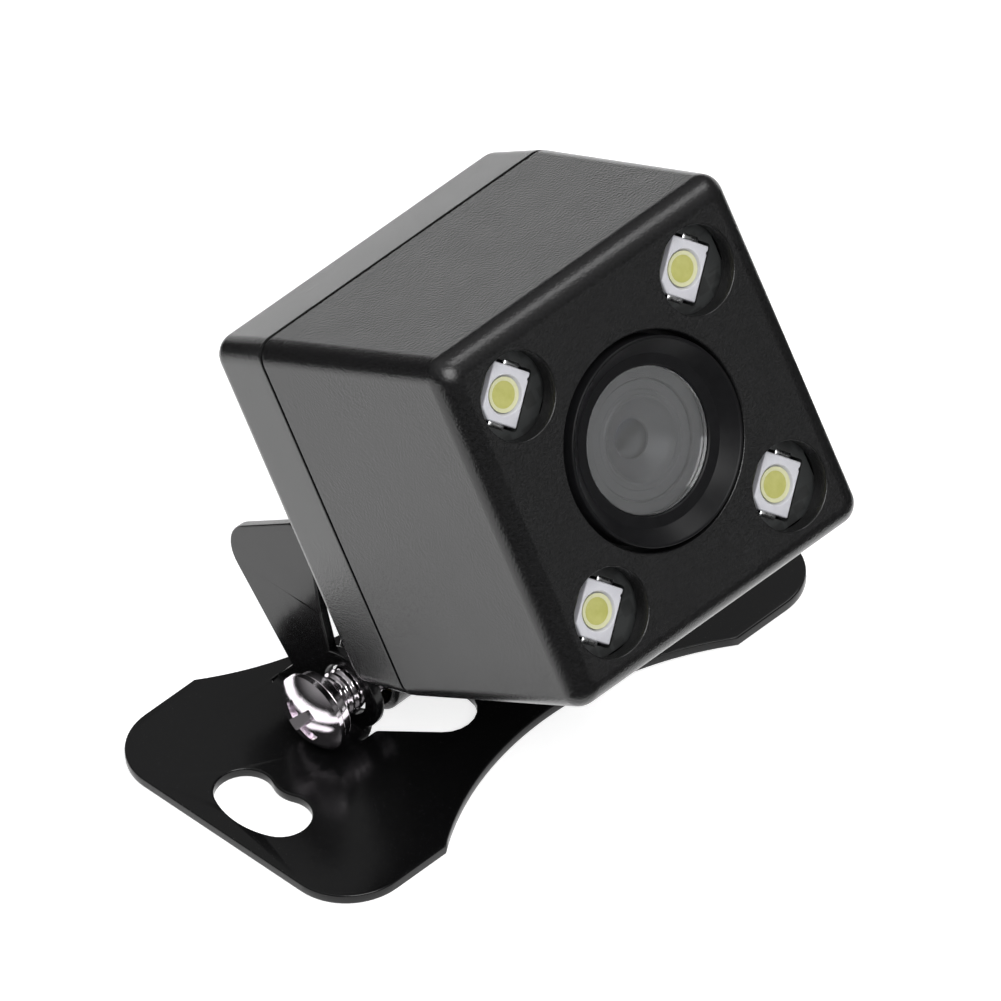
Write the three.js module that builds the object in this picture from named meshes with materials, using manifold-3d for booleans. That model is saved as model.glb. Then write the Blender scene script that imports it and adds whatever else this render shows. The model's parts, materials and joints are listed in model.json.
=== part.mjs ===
// Square reversing camera with four white LEDs, on a folded sheet-metal bracket.
//
// Frame, in millimetres: the origin is the centre of the bracket's underside, +Z is up,
// +X runs along the base plate and the tilt axis, and the camera looks towards -Y.
// The camera is built in a frame of its own, whose origin is the centre of its front
// face and whose +Y runs from the front face to the rear. It is then hung on the pivot.

import * as THREE from 'three';
import { mergeVertices } from 'three/addons/utils/BufferGeometryUtils.js';
import Module from 'manifold-3d';

const wasm = await Module();
wasm.setup();

// ---------------------------------------------------------------- driving dimensions

const CAMERA_WIDTH = 24;
const CAMERA_HEIGHT = 24;
const HOUSING_DEPTH = 17.5;
const SEAM = 0.3;
const COVER_DEPTH = 5.7;
const EDGE_RADIUS = 1.1;
const SEAM_SWELL = 0.4;
const WALL = 1.5;
const FRONT_WALL = 1.2;
const COVER_WALL = 1.8;
const CAVITY_CORNER = 0.8;
const CLEARANCE = 0.3;
const TILT = THREE.MathUtils.degToRad(27.5);

const LENS_HOLE_RADIUS = 6.7;
const BEZEL_RADIUS = LENS_HOLE_RADIUS - CLEARANCE;
const BEZEL_PROUD = 0.35;
const BEZEL_FLANGE_RADIUS = BEZEL_RADIUS + 1;
const BEZEL_DEPTH = 4.4;
const GLASS_RADIUS = 4.5;
const GLASS_FRONT = 0.75;
const GLASS_THICKNESS = 0.6;
const SEAL_THICKNESS = 0.45;
const BARREL_RADIUS = 3.4;
const BARREL_FRONT = 1.6;
const BARREL_REAR = 12;
const LED_PITCH = 15;
const LED_HOLE_RADIUS = 2.75;
const LED_LENGTH = 3.5;
const LED_WIDTH = 2.8;
const LED_HEIGHT = 0.75;
const LED_FRONT = 1.3;
const LED_TURN = -45;
const LED_BODY_GAP = 0.2;
const PHOSPHOR_RADIUS = 1;
const LED_BOARD_FRONT = FRONT_WALL + CLEARANCE;
const BOARD_THICKNESS = 1;
const BOARD_GAP = 0.2;
const SENSOR_BOARD_FRONT = 14.6;
const BOSS_OFFSET = 9.9;
const BOSS_RADIUS = 1.35;
const BOSS_FRONT = 5.5;
const COVER_SCREW_TIP = 11;
const GLAND_HEIGHT = 2;
const GLAND_NECK_RADIUS = 3;

const BASE_LENGTH = 41.3;
const BASE_WIDTH = 21.9;
const SHEET = 0.7;
const LOBE_RADIUS = 4.1;
const WAIST_REACH = 12.4;
const WAIST_DEPTH = 4;
const EAR_FACE = 8.85;
const BEND_RADIUS = 0.5;
const ROOT_FRONT = -0.25;
const ROOT_REAR = 7.15;

const PIVOT_Y = 1.2;
const PIVOT_Z = 3.5;
const PIVOT_BEHIND = 6.3;
const PIVOT_BELOW = 2.5;
const LUG_RADIUS = 2.6;
const LUG_HALF_WIDTH = 7;
const TAIL_FOOT = [-8, -3];
const INSERT_BORE_RADIUS = 2.15;
const SHANK_RADIUS = 1.45;
const HEAD_RADIUS = 2.6;
const HEAD_HEIGHT = 1.5;
const HEAD_SEAT = 11.3;
const WASHER_BORE_RADIUS = 1.7;

const CAMERA_DEPTH = HOUSING_DEPTH + SEAM + COVER_DEPTH;
const COVER_FRONT = HOUSING_DEPTH + SEAM;
const CAVITY = CAMERA_WIDTH - 2 * WALL;
// How far a cutting body runs past the body it cuts.
const PAST = 1;
const SIDES = [['left', -1], ['right', 1]];

// ---------------------------------------------------------------- materials

function material(colour, roughness, metalness = 0) {
  return new THREE.MeshStandardMaterial({ color: colour, roughness, metalness });
}

const blackPlastic = material(0x1c1c1d, 0.62);
const glossBlackPlastic = material(0x101011, 0.4);
const blackSteel = material(0x141415, 0.22, 0.2);
const chrome = material(0xd6d2d8, 0.12, 1);
const blackRubber = material(0x0d0d0d, 0.85);
const opticalGlass = material(0x8d9296, 0.05);
const filterGlass = material(0x7fb0a8, 0.05);
const brass = material(0xb5924c, 0.35, 1);
const ledBody = material(0xd9dcda, 0.5);
const phosphor = material(0xdde04e, 0.6);
const greenBoard = material(0x1f4a33, 0.5);
const blackBoard = material(0x121413, 0.45);
const sensorBody = material(0x2b2d33, 0.3);
const ivoryPlastic = material(0xe2dcc8, 0.5);

// ---------------------------------------------------------------- solids

// A closed solid from a three.js geometry, with its shared vertices merged.
function solid(geometry) {
  const bare = new THREE.BufferGeometry();
  bare.setAttribute('position', geometry.getAttribute('position').clone());
  if (geometry.index) bare.setIndex(geometry.index.clone());
  const merged = mergeVertices(bare, 1e-4);
  const corners = merged.index.array;
  const triangles = [];
  for (let i = 0; i < corners.length; i += 3) {
    const [a, b, c] = [corners[i], corners[i + 1], corners[i + 2]];
    if (a !== b && b !== c && c !== a) triangles.push(a, b, c);
  }
  return new wasm.Manifold(new wasm.Mesh({
    numProp: 3,
    vertProperties: new Float32Array(merged.getAttribute('position').array),
    triVerts: new Uint32Array(triangles),
  }));
}

function mesh(name, body, look) {
  const { vertProperties, triVerts } = body.getMesh();
  const geometry = new THREE.BufferGeometry();
  geometry.setAttribute('position', new THREE.BufferAttribute(vertProperties, 3));
  geometry.setIndex(new THREE.BufferAttribute(triVerts, 1));
  geometry.computeVertexNormals();
  const result = new THREE.Mesh(geometry, look);
  result.name = name;
  return result;
}

// Points round a polygon whose corners [x, y, radius] are rounded by tangent arcs.
function roundedOutline(corners, stepsPerCorner = 4) {
  const points = [];
  corners.forEach(([x, y, radius], i) => {
    const corner = new THREE.Vector2(x, y);
    if (!radius) {
      points.push(corner);
      return;
    }
    const before = corners[(i + corners.length - 1) % corners.length];
    const after = corners[(i + 1) % corners.length];
    const back = new THREE.Vector2(before[0] - x, before[1] - y).normalize();
    const ahead = new THREE.Vector2(after[0] - x, after[1] - y).normalize();
    const half = Math.acos(back.dot(ahead)) / 2;
    const bisector = back.clone().add(ahead).normalize();
    const centre = corner.clone().addScaledVector(bisector, radius / Math.sin(half));
    const start = corner.clone().addScaledVector(back, radius / Math.tan(half));
    const turn = Math.sign(back.cross(ahead)) * -(Math.PI - 2 * half);
    for (let k = 0; k <= stepsPerCorner; k += 1) {
      points.push(start.clone().rotateAround(centre, turn * k / stepsPerCorner));
    }
  });
  return points;
}

function roundedRectangle(width, height, radius, steps = 4) {
  const [x, y] = [width / 2, height / 2];
  return roundedOutline(
    [[-x, -y, radius], [x, -y, radius], [x, y, radius], [-x, y, radius]], steps);
}

// An outline in (x, y) raised from z0 to z1.
function prismZ(outline, z0, z1, holes = []) {
  const shape = new THREE.Shape(outline);
  shape.holes = holes.map((hole) => new THREE.Path(hole));
  const geometry = new THREE.ExtrudeGeometry(shape, { depth: z1 - z0, bevelEnabled: false });
  return solid(geometry.translate(0, 0, z0));
}

// An outline in (x, z) carried from y0 to y1.
function prismY(outline, y0, y1, holes = []) {
  return prismZ(outline, -y1, -y0, holes).rotate([90, 0, 0]);
}

// An outline in (y, z) carried from x0 to x1.
function prismX(outline, x0, x1) {
  const geometry = new THREE.ExtrudeGeometry(
    new THREE.Shape(outline), { depth: x1 - x0, bevelEnabled: false });
  geometry.translate(0, 0, x0);
  geometry.applyMatrix4(new THREE.Matrix4().makeBasis(
    new THREE.Vector3(0, 1, 0), new THREE.Vector3(0, 0, 1), new THREE.Vector3(1, 0, 0)));
  return solid(geometry);
}

// A profile of [radius, y] points turned about the Y axis.
function turned(profile, segments = 24) {
  const points = profile.map(([radius, y]) => new THREE.Vector2(radius, y));
  return solid(new THREE.LatheGeometry(points, segments));
}

function disc(radius, y0, y1, segments = 24) {
  return turned([[0, y0], [radius, y0], [radius, y1], [0, y1]], segments);
}

function ring(inner, outer, y0, y1, segments = 24) {
  return turned([[inner, y0], [outer, y0], [outer, y1], [inner, y1], [inner, y0]], segments);
}

// [radius, y] points along a quarter of a rounded edge.
function quarterArc(centreRadius, centreY, radius, fromAngle, toAngle, steps) {
  const points = [];
  for (let k = 0; k <= steps; k += 1) {
    const angle = fromAngle + (toAngle - fromAngle) * k / steps;
    points.push([centreRadius + radius * Math.cos(angle), centreY + radius * Math.sin(angle)]);
  }
  return points;
}

// The centres of four features on a square of the given pitch, seen from the front.
function squarePattern(pitch) {
  const places = [];
  for (const [row, z] of [['upper', 1], ['lower', -1]]) {
    for (const [side, x] of SIDES) {
      places.push([`${row}_${side}`, x * pitch / 2, z * pitch / 2]);
    }
  }
  return places;
}

// A block with rounded long edges and a rounded rim at one end. It widens a little towards
// its plain end, which is the end at the seam.
function roundedBlock(y0, y1, roundRear) {
  const steps = 3;
  const shape = new THREE.Shape(roundedRectangle(
    CAMERA_WIDTH - 2 * EDGE_RADIUS, CAMERA_HEIGHT - 2 * EDGE_RADIUS, EDGE_RADIUS / 4, steps));
  const geometry = new THREE.ExtrudeGeometry(shape, {
    depth: y1 - y0 - EDGE_RADIUS,
    bevelThickness: EDGE_RADIUS,
    bevelSize: EDGE_RADIUS,
    bevelSegments: steps,
  });
  geometry.translate(0, 0, roundRear ? EDGE_RADIUS - y1 : -y1);
  const position = geometry.getAttribute('position');
  const swell = 2 * SEAM_SWELL / CAMERA_WIDTH / (y1 - y0);
  for (let i = 0; i < position.count; i += 1) {
    const y = -position.getZ(i);
    const scale = 1 + swell * (roundRear ? y1 - y : y - y0);
    position.setXY(i, scale * position.getX(i), scale * position.getY(i));
  }
  const slab = roundedRectangle(2 * CAMERA_WIDTH, 2 * CAMERA_HEIGHT, 0);
  return solid(geometry).rotate([90, 0, 0]).intersect(prismY(slab, y0, y1));
}

// ---------------------------------------------------------------- bracket

function arcPoints(centreX, centreY, radius, fromAngle, toAngle, steps) {
  return quarterArc(centreX, centreY, radius, fromAngle, toAngle, steps)
    .map(([x, y]) => new THREE.Vector2(x, y));
}

// Two rounded lobes joined by a waist that is drawn in by an arc on each side.
function baseOutline() {
  const [x, y] = [BASE_LENGTH / 2 - LOBE_RADIUS, BASE_WIDTH / 2 - LOBE_RADIUS];
  const waistRadius = (WAIST_REACH ** 2 + WAIST_DEPTH ** 2) / (2 * WAIST_DEPTH);
  const waistCentre = BASE_WIDTH / 2 - WAIST_DEPTH + waistRadius;
  const spread = Math.asin(WAIST_REACH / waistRadius);
  const quarter = Math.PI / 2;
  const points = [];
  for (const side of [1, -1]) {
    const turn = side > 0 ? 0 : Math.PI;
    points.push(...arcPoints(side * x, -side * y, LOBE_RADIUS, turn - quarter, turn, 5));
    points.push(...arcPoints(side * x, side * y, LOBE_RADIUS, turn, turn + quarter, 5));
    points.push(...arcPoints(
      0, side * waistCentre, waistRadius, turn - quarter + spread, turn - quarter - spread, 10));
  }
  return points;
}

// A kidney slot for a mounting screw: an arc that lets the bracket turn a little.
function kidneySlot(side) {
  const [mean, halfWidth, halfAngle] = [4, 1.85, THREE.MathUtils.degToRad(24.4)];
  const centreX = side * (17.55 - mean);
  const middle = side > 0 ? 0 : Math.PI;
  const [first, last] = [middle - halfAngle, middle + halfAngle];
  const cap = (angle, from, to) => arcPoints(
    centreX + mean * Math.cos(angle), mean * Math.sin(angle), halfWidth, from, to, 8).slice(1, -1);
  return [
    ...arcPoints(centreX, 0, mean + halfWidth, first, last, 8),
    ...cap(last, last, last + Math.PI),
    ...arcPoints(centreX, 0, mean - halfWidth, last, first, 4),
    ...cap(first, first + Math.PI, first + 2 * Math.PI),
  ];
}

// The window that an ear is folded up out of, with a small relief at each end of the fold.
function earWindow(side) {
  const relief = 0.25;
  const fold = EAR_FACE + BEND_RADIUS;
  const corners = [
    [fold, ROOT_REAR + relief, 0.2],
    [fold - 1.7, ROOT_REAR + relief, 0.4],
    [fold - 2.8, 6.1, 0.6],
    [1.8, 5.4, 0.8],
    [2.25, -7.36, 1.95],
    [fold - 1.25, ROOT_FRONT - relief, 0.4],
    [fold, ROOT_FRONT - relief, 0.2],
  ];
  return roundedOutline(corners.map(([x, y, radius]) => [side * x, y, radius]));
}

// One upright ear: a round lobe about the pivot, and an arm that leans back behind the camera.
function ear(side) {
  const foldTop = SHEET + BEND_RADIUS;
  const lobeRadius = 2.75;
  const lobe = arcPoints(PIVOT_Y, PIVOT_Z, lobeRadius, 0, 2 * Math.PI, 24).slice(1);
  const root = [
    [ROOT_FRONT, foldTop, 0],
    [ROOT_REAR, foldTop, 0],
    [5.5, 3.1, 0],
    [PIVOT_Y + 1.1, PIVOT_Z + 2.5, 0],
    [PIVOT_Y, PIVOT_Z, 0],
  ];
  const arm = [
    [2.1, foldTop, 0],
    [4.9, foldTop, 0],
    [11.75, 10.3, 2.4],
    [3.6, 15.75, 1.2],
    [2.95, 8.6, 3],
    [2.3, 5.5, 0],
  ];
  const faces = side > 0 ? [EAR_FACE - SHEET, EAR_FACE] : [-EAR_FACE, -EAR_FACE + SHEET];
  const plate = prismX(lobe, ...faces)
    .add(prismX(roundedOutline(root), ...faces))
    .add(prismX(roundedOutline(arm), ...faces));
  const hole = prismX(
    arcPoints(PIVOT_Y, PIVOT_Z, SHANK_RADIUS + CLEARANCE, 0, 2 * Math.PI, 24).slice(1),
    -BASE_LENGTH, BASE_LENGTH);
  return plate.subtract(hole).add(fold(side));
}

// The quarter bend that carries the sheet from the base plate up into an ear.
function fold(side) {
  const centreX = side * (EAR_FACE + BEND_RADIUS);
  const centreZ = SHEET + BEND_RADIUS;
  const [down, inward] = side > 0 ? [-Math.PI / 2, -Math.PI] : [-Math.PI / 2, 0];
  const outline = [
    ...arcPoints(centreX, centreZ, BEND_RADIUS + SHEET, down, inward, 5),
    ...arcPoints(centreX, centreZ, BEND_RADIUS, inward, down, 5),
  ];
  return prismY(outline, ROOT_FRONT, ROOT_REAR);
}

function baseBracket() {
  const holes = [kidneySlot(-1), kidneySlot(1), earWindow(-1), earWindow(1)];
  const plate = prismZ(baseOutline(), 0, SHEET, holes);
  return mesh('base_bracket', plate.add(ear(-1)).add(ear(1)), blackSteel);
}

// ---------------------------------------------------------------- camera shell

function frontHousing() {
  const cavity = roundedRectangle(CAVITY, CAMERA_HEIGHT - 2 * WALL, CAVITY_CORNER);
  const pilotRadius = 0.75;
  let body = roundedBlock(0, HOUSING_DEPTH, false)
    .subtract(prismY(cavity, FRONT_WALL, HOUSING_DEPTH + PAST))
    .subtract(disc(LENS_HOLE_RADIUS, -PAST, FRONT_WALL + PAST, 32));
  for (const [, x, z] of squarePattern(LED_PITCH)) {
    body = body.subtract(disc(LED_HOLE_RADIUS, -PAST, FRONT_WALL + PAST).translate([x, 0, z]));
  }
  for (const [, x, z] of squarePattern(2 * BOSS_OFFSET)) {
    const boss = disc(BOSS_RADIUS, BOSS_FRONT, HOUSING_DEPTH, 12);
    const pilot = disc(pilotRadius, COVER_SCREW_TIP - 1, HOUSING_DEPTH + PAST, 10);
    body = body.add(boss.translate([x, 0, z])).subtract(pilot.translate([x, 0, z]));
  }
  return mesh('front_housing', body, blackPlastic);
}

// The outline of the tail: two flanks from the rear face that close tangent to the lug.
function tailOutline() {
  const lug = new THREE.Vector2(
    CAMERA_DEPTH + PIVOT_BEHIND, -CAMERA_HEIGHT / 2 - PIVOT_BELOW);
  const foot = CAMERA_DEPTH - COVER_WALL / 2;
  const [lower, upper] = TAIL_FOOT.map((z) => new THREE.Vector2(foot, z));
  const tangentAngle = (from, sign) => {
    const away = from.clone().sub(lug);
    return away.angle() + sign * Math.acos(LUG_RADIUS / away.length());
  };
  const first = tangentAngle(lower, 1);
  let last = tangentAngle(upper, -1);
  if (last < first) last += 2 * Math.PI;
  return [upper, lower, ...arcPoints(lug.x, lug.y, LUG_RADIUS, first, last, 16)];
}

function rearCover() {
  const inside = roundedRectangle(CAVITY, CAMERA_HEIGHT - 2 * WALL, CAVITY_CORNER);
  const outside = roundedBlock(COVER_FRONT, CAMERA_DEPTH, true);
  const [postRadius, holeRadius, wellRadius, wellDepth] = [BOSS_RADIUS + 0.5, 0.95, 1.4, 1.2];
  const post = disc(postRadius, COVER_FRONT, CAMERA_DEPTH - COVER_WALL / 2, 12);
  const screwHole = disc(holeRadius, COVER_FRONT - PAST, CAMERA_DEPTH + PAST, 12)
    .add(disc(wellRadius, CAMERA_DEPTH - wellDepth, CAMERA_DEPTH + PAST, 12));
  let body = outside
    .subtract(prismY(inside, COVER_FRONT - PAST, CAMERA_DEPTH - COVER_WALL));
  for (const [, x, z] of squarePattern(2 * BOSS_OFFSET)) {
    body = body.add(post.translate([x, 0, z]).intersect(outside));
  }
  body = body.add(locatingLips());
  body = body.add(prismX(tailOutline(), -LUG_HALF_WIDTH, LUG_HALF_WIDTH));
  for (const [, x, z] of squarePattern(2 * BOSS_OFFSET)) {
    body = body.subtract(screwHole.translate([x, 0, z]));
  }
  const glandHole = disc(
    GLAND_NECK_RADIUS + CLEARANCE, CAMERA_DEPTH - 2 * COVER_WALL, CAMERA_DEPTH + PAST);
  body = body.subtract(glandHole.translate([0, 0, GLAND_HEIGHT]));
  for (const [, side] of SIDES) body = body.subtract(insertBore(side));
  return mesh('rear_cover', body, blackPlastic);
}

// Four short lips that centre the cover inside the mouth of the housing.
function locatingLips() {
  const [length, thickness, reach, root] = [12, 0.9, 1.2, 2];
  const outer = CAVITY / 2 - CLEARANCE;
  const lip = roundedRectangle(length, thickness, 0)
    .map((point) => new THREE.Vector2(point.x, point.y + outer - thickness / 2));
  const bridge = roundedRectangle(length, thickness + 2 * CLEARANCE, 0)
    .map((point) => new THREE.Vector2(point.x, point.y + outer + CLEARANCE - thickness / 2));
  const single = prismY(lip, COVER_FRONT - SEAM - reach, COVER_FRONT + root / 2)
    .add(prismY(bridge, COVER_FRONT, COVER_FRONT + root));
  return single
    .add(single.rotate([0, 90, 0]))
    .add(single.rotate([0, 180, 0]))
    .add(single.rotate([0, 270, 0]));
}

// A blind bore in the end of the lug for a threaded insert.
function insertBore(side) {
  const bottom = 2;
  return disc(INSERT_BORE_RADIUS, bottom, LUG_HALF_WIDTH + PAST, 24)
    .rotate([0, 0, -90 * side])
    .translate([0, CAMERA_DEPTH + PIVOT_BEHIND, -CAMERA_HEIGHT / 2 - PIVOT_BELOW]);
}

function housingSeal() {
  const [inset, corner, slack] = [0.6, 0.9, 0.05];
  const [width, height] = [CAMERA_WIDTH, CAMERA_HEIGHT].map((size) => size + 2 * SEAM_SWELL);
  const outer = roundedRectangle(width - 2 * inset, height - 2 * inset, corner);
  const inner = roundedRectangle(CAVITY + 2 * slack, CAVITY + 2 * slack, corner);
  const [y0, y1] = [HOUSING_DEPTH + slack, COVER_FRONT - slack];
  return mesh('housing_seal', prismY(outer, y0, y1, [inner]), blackRubber);
}

// A countersunk machine screw with a cross recess, pointed at its front end.
function coverScrew(place, x, z) {
  const [shank, head, headHeight] = [0.62, 1.15, 0.85];
  const seat = CAMERA_DEPTH - 1.15;
  const body = turned([
    [0, COVER_SCREW_TIP], [shank - 0.27, COVER_SCREW_TIP], [shank, COVER_SCREW_TIP + 0.8],
    [shank, seat], [head, seat], [head, seat + headHeight - 0.35],
    [head - 0.25, seat + headHeight], [0, seat + headHeight],
  ], 12);
  const bar = prismY(roundedRectangle(1.3, 0.3, 0), seat + headHeight - 0.45, seat + 2);
  const recess = bar.add(bar.rotate([0, 90, 0]));
  return mesh(`cover_screw_${place}`, body.subtract(recess).translate([x, 0, z]), chrome);
}

// A rubber gland that clips through the rear wall, bored through for a cable.
function cableGland() {
  const [inside, outside] = [CAMERA_DEPTH - COVER_WALL - 0.05, CAMERA_DEPTH + 0.05];
  const [bore, sleeve, neck] = [1.6, 2.8, GLAND_NECK_RADIUS];
  const [clipRim, clipDepth, collarRim, collarDepth] = [neck + 0.9, 0.55, neck + 1.1, 0.65];
  const end = CAMERA_DEPTH + 3.6;
  const profile = [
    [bore, inside - clipDepth], [clipRim, inside - clipDepth],
    [clipRim, inside], [neck, inside],
    [neck, outside], [collarRim, outside],
    [collarRim, outside + collarDepth], [collarRim - 0.4, outside + collarDepth + 0.4],
    [sleeve, outside + collarDepth + 0.6], [sleeve - 0.3, end], [bore, end],
    [bore, inside - clipDepth],
  ];
  return mesh('cable_gland', turned(profile).translate([0, 0, GLAND_HEIGHT]), blackRubber);
}

// ---------------------------------------------------------------- optics

// A ring that stands a little proud of the front face and funnels in to the window glass.
function lensBezel() {
  const [bevel, flange, funnelEnd, funnelRadius, wall] = [0.15, 0.7, 0.7, 5.3, 0.7];
  const flangeFront = FRONT_WALL + CLEARANCE;
  const ledge = GLASS_FRONT + GLASS_THICKNESS + SEAL_THICKNESS;
  const bore = BARREL_RADIUS + CLEARANCE;
  const profile = [
    [BEZEL_RADIUS - bevel, -BEZEL_PROUD], [BEZEL_RADIUS, bevel - BEZEL_PROUD],
    [BEZEL_RADIUS, flangeFront], [BEZEL_FLANGE_RADIUS, flangeFront],
    [BEZEL_FLANGE_RADIUS, flangeFront + flange], [BEZEL_RADIUS - wall, flangeFront + flange],
    [BEZEL_RADIUS - wall, BEZEL_DEPTH], [bore, BEZEL_DEPTH], [bore, ledge],
    [GLASS_RADIUS + CLEARANCE, ledge], [GLASS_RADIUS + CLEARANCE, funnelEnd],
    [funnelRadius, funnelEnd], [BEZEL_RADIUS - bevel, -BEZEL_PROUD],
  ];
  return mesh('lens_bezel', turned(profile, 32), glossBlackPlastic);
}

function coverGlass() {
  const body = disc(GLASS_RADIUS, GLASS_FRONT, GLASS_FRONT + GLASS_THICKNESS, 32);
  return mesh('cover_glass', body, opticalGlass);
}

function windowSeal() {
  const [back, slack, width] = [GLASS_FRONT + GLASS_THICKNESS, 0.05, 0.55];
  const body = ring(
    GLASS_RADIUS - width, GLASS_RADIUS, back + slack, back + SEAL_THICKNESS - slack, 32);
  return mesh('window_seal', body, blackRubber);
}

// A tube whose front funnels in to a small stop, with the elements' bore behind it.
function lensBarrel() {
  const [mouth, stop, bore, bevel] = [2.6, 1.25, 2.2, 0.2];
  const [funnelEnd, stopEnd] = [BARREL_FRONT + 0.9, BARREL_FRONT + 1.1];
  const profile = [
    [mouth, BARREL_FRONT], [BARREL_RADIUS - bevel, BARREL_FRONT],
    [BARREL_RADIUS, BARREL_FRONT + bevel], [BARREL_RADIUS, BARREL_REAR],
    [bore, BARREL_REAR], [bore, stopEnd], [stop, stopEnd], [stop, funnelEnd],
    [mouth, BARREL_FRONT],
  ];
  return mesh('lens_barrel', turned(profile, 28), glossBlackPlastic);
}

// [radius, y] points over a spherical cap of the given sag, from the axis out to the rim.
function capArc(rimRadius, poleY, sag, steps) {
  const sphere = (rimRadius ** 2 + sag ** 2) / (2 * Math.abs(sag));
  const points = [];
  for (let k = 0; k <= steps; k += 1) {
    const radius = rimRadius * k / steps;
    const depth = sphere - Math.sqrt(sphere ** 2 - radius ** 2);
    points.push([radius, poleY + Math.sign(sag) * depth]);
  }
  return points;
}

function lensElement(name, radius, frontPole, backPole, sag) {
  const profile = [
    ...capArc(radius, frontPole, sag, 3),
    ...capArc(radius, backPole, -sag / 2, 3).reverse(),
  ];
  return mesh(name, turned(profile), opticalGlass);
}

// A round mount for the barrel on a square foot, with a pocket behind it for the sensor.
function lensHolder() {
  const [mount, front, foot, footDepth, pocket] = [5, 6.5, 12.5, 1.5, 7];
  const [seat, filterEnd, window] = [BARREL_REAR + CLEARANCE, 12.95, 2.5];
  const back = SENSOR_BOARD_FRONT - 0.1;
  const block = disc(mount, front, back, 28)
    .add(prismY(roundedRectangle(foot, foot, 1), back - footDepth, back));
  const bored = block
    .subtract(disc(BARREL_RADIUS + CLEARANCE, front - PAST, seat, 28))
    .subtract(disc(window, seat - 0.1, filterEnd + 0.1, 24))
    .subtract(prismY(roundedRectangle(pocket, pocket, 0.5), filterEnd, back + PAST));
  return mesh('lens_holder', bored, glossBlackPlastic);
}

function imageSensor() {
  const [width, height, thickness] = [5.6, 5.2, 0.65];
  const back = SENSOR_BOARD_FRONT - 0.05;
  const body = prismY(roundedRectangle(width, height, 0), back - thickness, back);
  return mesh('image_sensor', body, sensorBody);
}

// ---------------------------------------------------------------- circuit boards

function squareBoard(front) {
  const size = CAVITY - 2 * BOARD_GAP;
  return prismY(roundedRectangle(size, size, 0.6, 2), front, front + BOARD_THICKNESS);
}

// The front board: a large hole for the bezel and a small cut-out that each LED sits in.
function ledBoard() {
  const [y0, y1] = [LED_BOARD_FRONT - PAST, LED_BOARD_FRONT + BOARD_THICKNESS + PAST];
  const seat = prismY(
    roundedRectangle(LED_LENGTH + 2 * LED_BODY_GAP, LED_WIDTH + 2 * LED_BODY_GAP, 0), y0, y1)
    .rotate([0, LED_TURN, 0]);
  let body = squareBoard(LED_BOARD_FRONT)
    .subtract(disc(BEZEL_FLANGE_RADIUS + CLEARANCE, y0, y1, 32));
  for (const [, x, z] of squarePattern(LED_PITCH)) {
    body = body.subtract(seat.translate([x, 0, z]));
  }
  return mesh('led_board', body, blackBoard);
}

// The rear board, cut back at its corners round the housing's screw bosses.
function sensorBoard() {
  const [y0, y1] = [SENSOR_BOARD_FRONT - PAST, SENSOR_BOARD_FRONT + BOARD_THICKNESS + PAST];
  const corner = disc(BOSS_RADIUS + BOARD_GAP, y0, y1, 12);
  let body = squareBoard(SENSOR_BOARD_FRONT);
  for (const [, x, z] of squarePattern(2 * BOSS_OFFSET)) {
    body = body.subtract(corner.translate([x, 0, z]));
  }
  return mesh('sensor_board', body, greenBoard);
}

// A white surface-mount LED: a cupped package with one corner chamfered, turned on the
// diagonal, whose two soldered leads rest on the front of the board.
function ledPackage(place, x, z) {
  const [halfLong, halfShort, chamfer] = [LED_LENGTH / 2, LED_WIDTH / 2, 0.6];
  const [cupRim, cupFloor, cupDepth] = [1.25, 1.08, 0.45];
  const [leadReach, leadWidth, leadThickness, leadGap] = [0.5, 2, 0.13, 0.02];
  const outline = [
    [-halfLong, -halfShort], [halfLong, -halfShort], [halfLong, halfShort],
    [chamfer - halfLong, halfShort], [-halfLong, halfShort - chamfer],
  ].map(([u, v]) => new THREE.Vector2(u, v));
  const cup = turned([
    [0, LED_FRONT - PAST], [cupRim, LED_FRONT - PAST], [cupRim, LED_FRONT],
    [cupFloor, LED_FRONT + cupDepth], [0, LED_FRONT + cupDepth],
  ], 20);
  const leadBack = LED_BOARD_FRONT - leadGap;
  const leads = prismY(
    roundedRectangle(LED_LENGTH + 2 * leadReach, leadWidth, 0),
    leadBack - leadThickness, leadBack);
  const body = prismY(outline, LED_FRONT, LED_FRONT + LED_HEIGHT)
    .add(leads)
    .subtract(cup)
    .rotate([0, LED_TURN, 0])
    .translate([x, 0, z]);
  return mesh(`led_${place}`, body, ledBody);
}

function ledPhosphor(place, x, z) {
  const [front, back] = [LED_FRONT + 0.2, LED_FRONT + 0.43];
  const body = disc(PHOSPHOR_RADIUS, front, back, 20).translate([x, 0, z]);
  return mesh(`phosphor_${place}`, body, phosphor);
}

// A stacking header that joins the two boards beside the lens.
function linkHeader() {
  const [width, height, offset, gap] = [2, 6, 9.05, 0.1];
  const [y0, y1] = [LED_BOARD_FRONT + BOARD_THICKNESS + gap, SENSOR_BOARD_FRONT - gap];
  const body = prismY(roundedRectangle(width, height, 0.3, 2), y0, y1);
  return mesh('link_header', body.translate([-offset, 0, 0]), glossBlackPlastic);
}

// An open-topped socket behind the sensor board, for the cable's wires.
function cableHeader() {
  const [width, height, depth, wall, floor, drop] = [9, 4, 3.6, 0.6, 0.8, 5.5];
  const y0 = SENSOR_BOARD_FRONT + BOARD_THICKNESS + 0.1;
  const pocket = roundedRectangle(width - 2 * wall, height - 2 * wall, 0.2, 2);
  const shell = prismY(roundedRectangle(width, height, 0.3, 2), y0, y0 + depth)
    .subtract(prismY(pocket, y0 + floor, y0 + depth + PAST));
  return mesh('cable_header', shell.translate([0, 0, -drop]), ivoryPlastic);
}

// ---------------------------------------------------------------- pivot hardware
// These are built along +Y, from the middle of the lug outwards, and then turned to each side.

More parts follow.
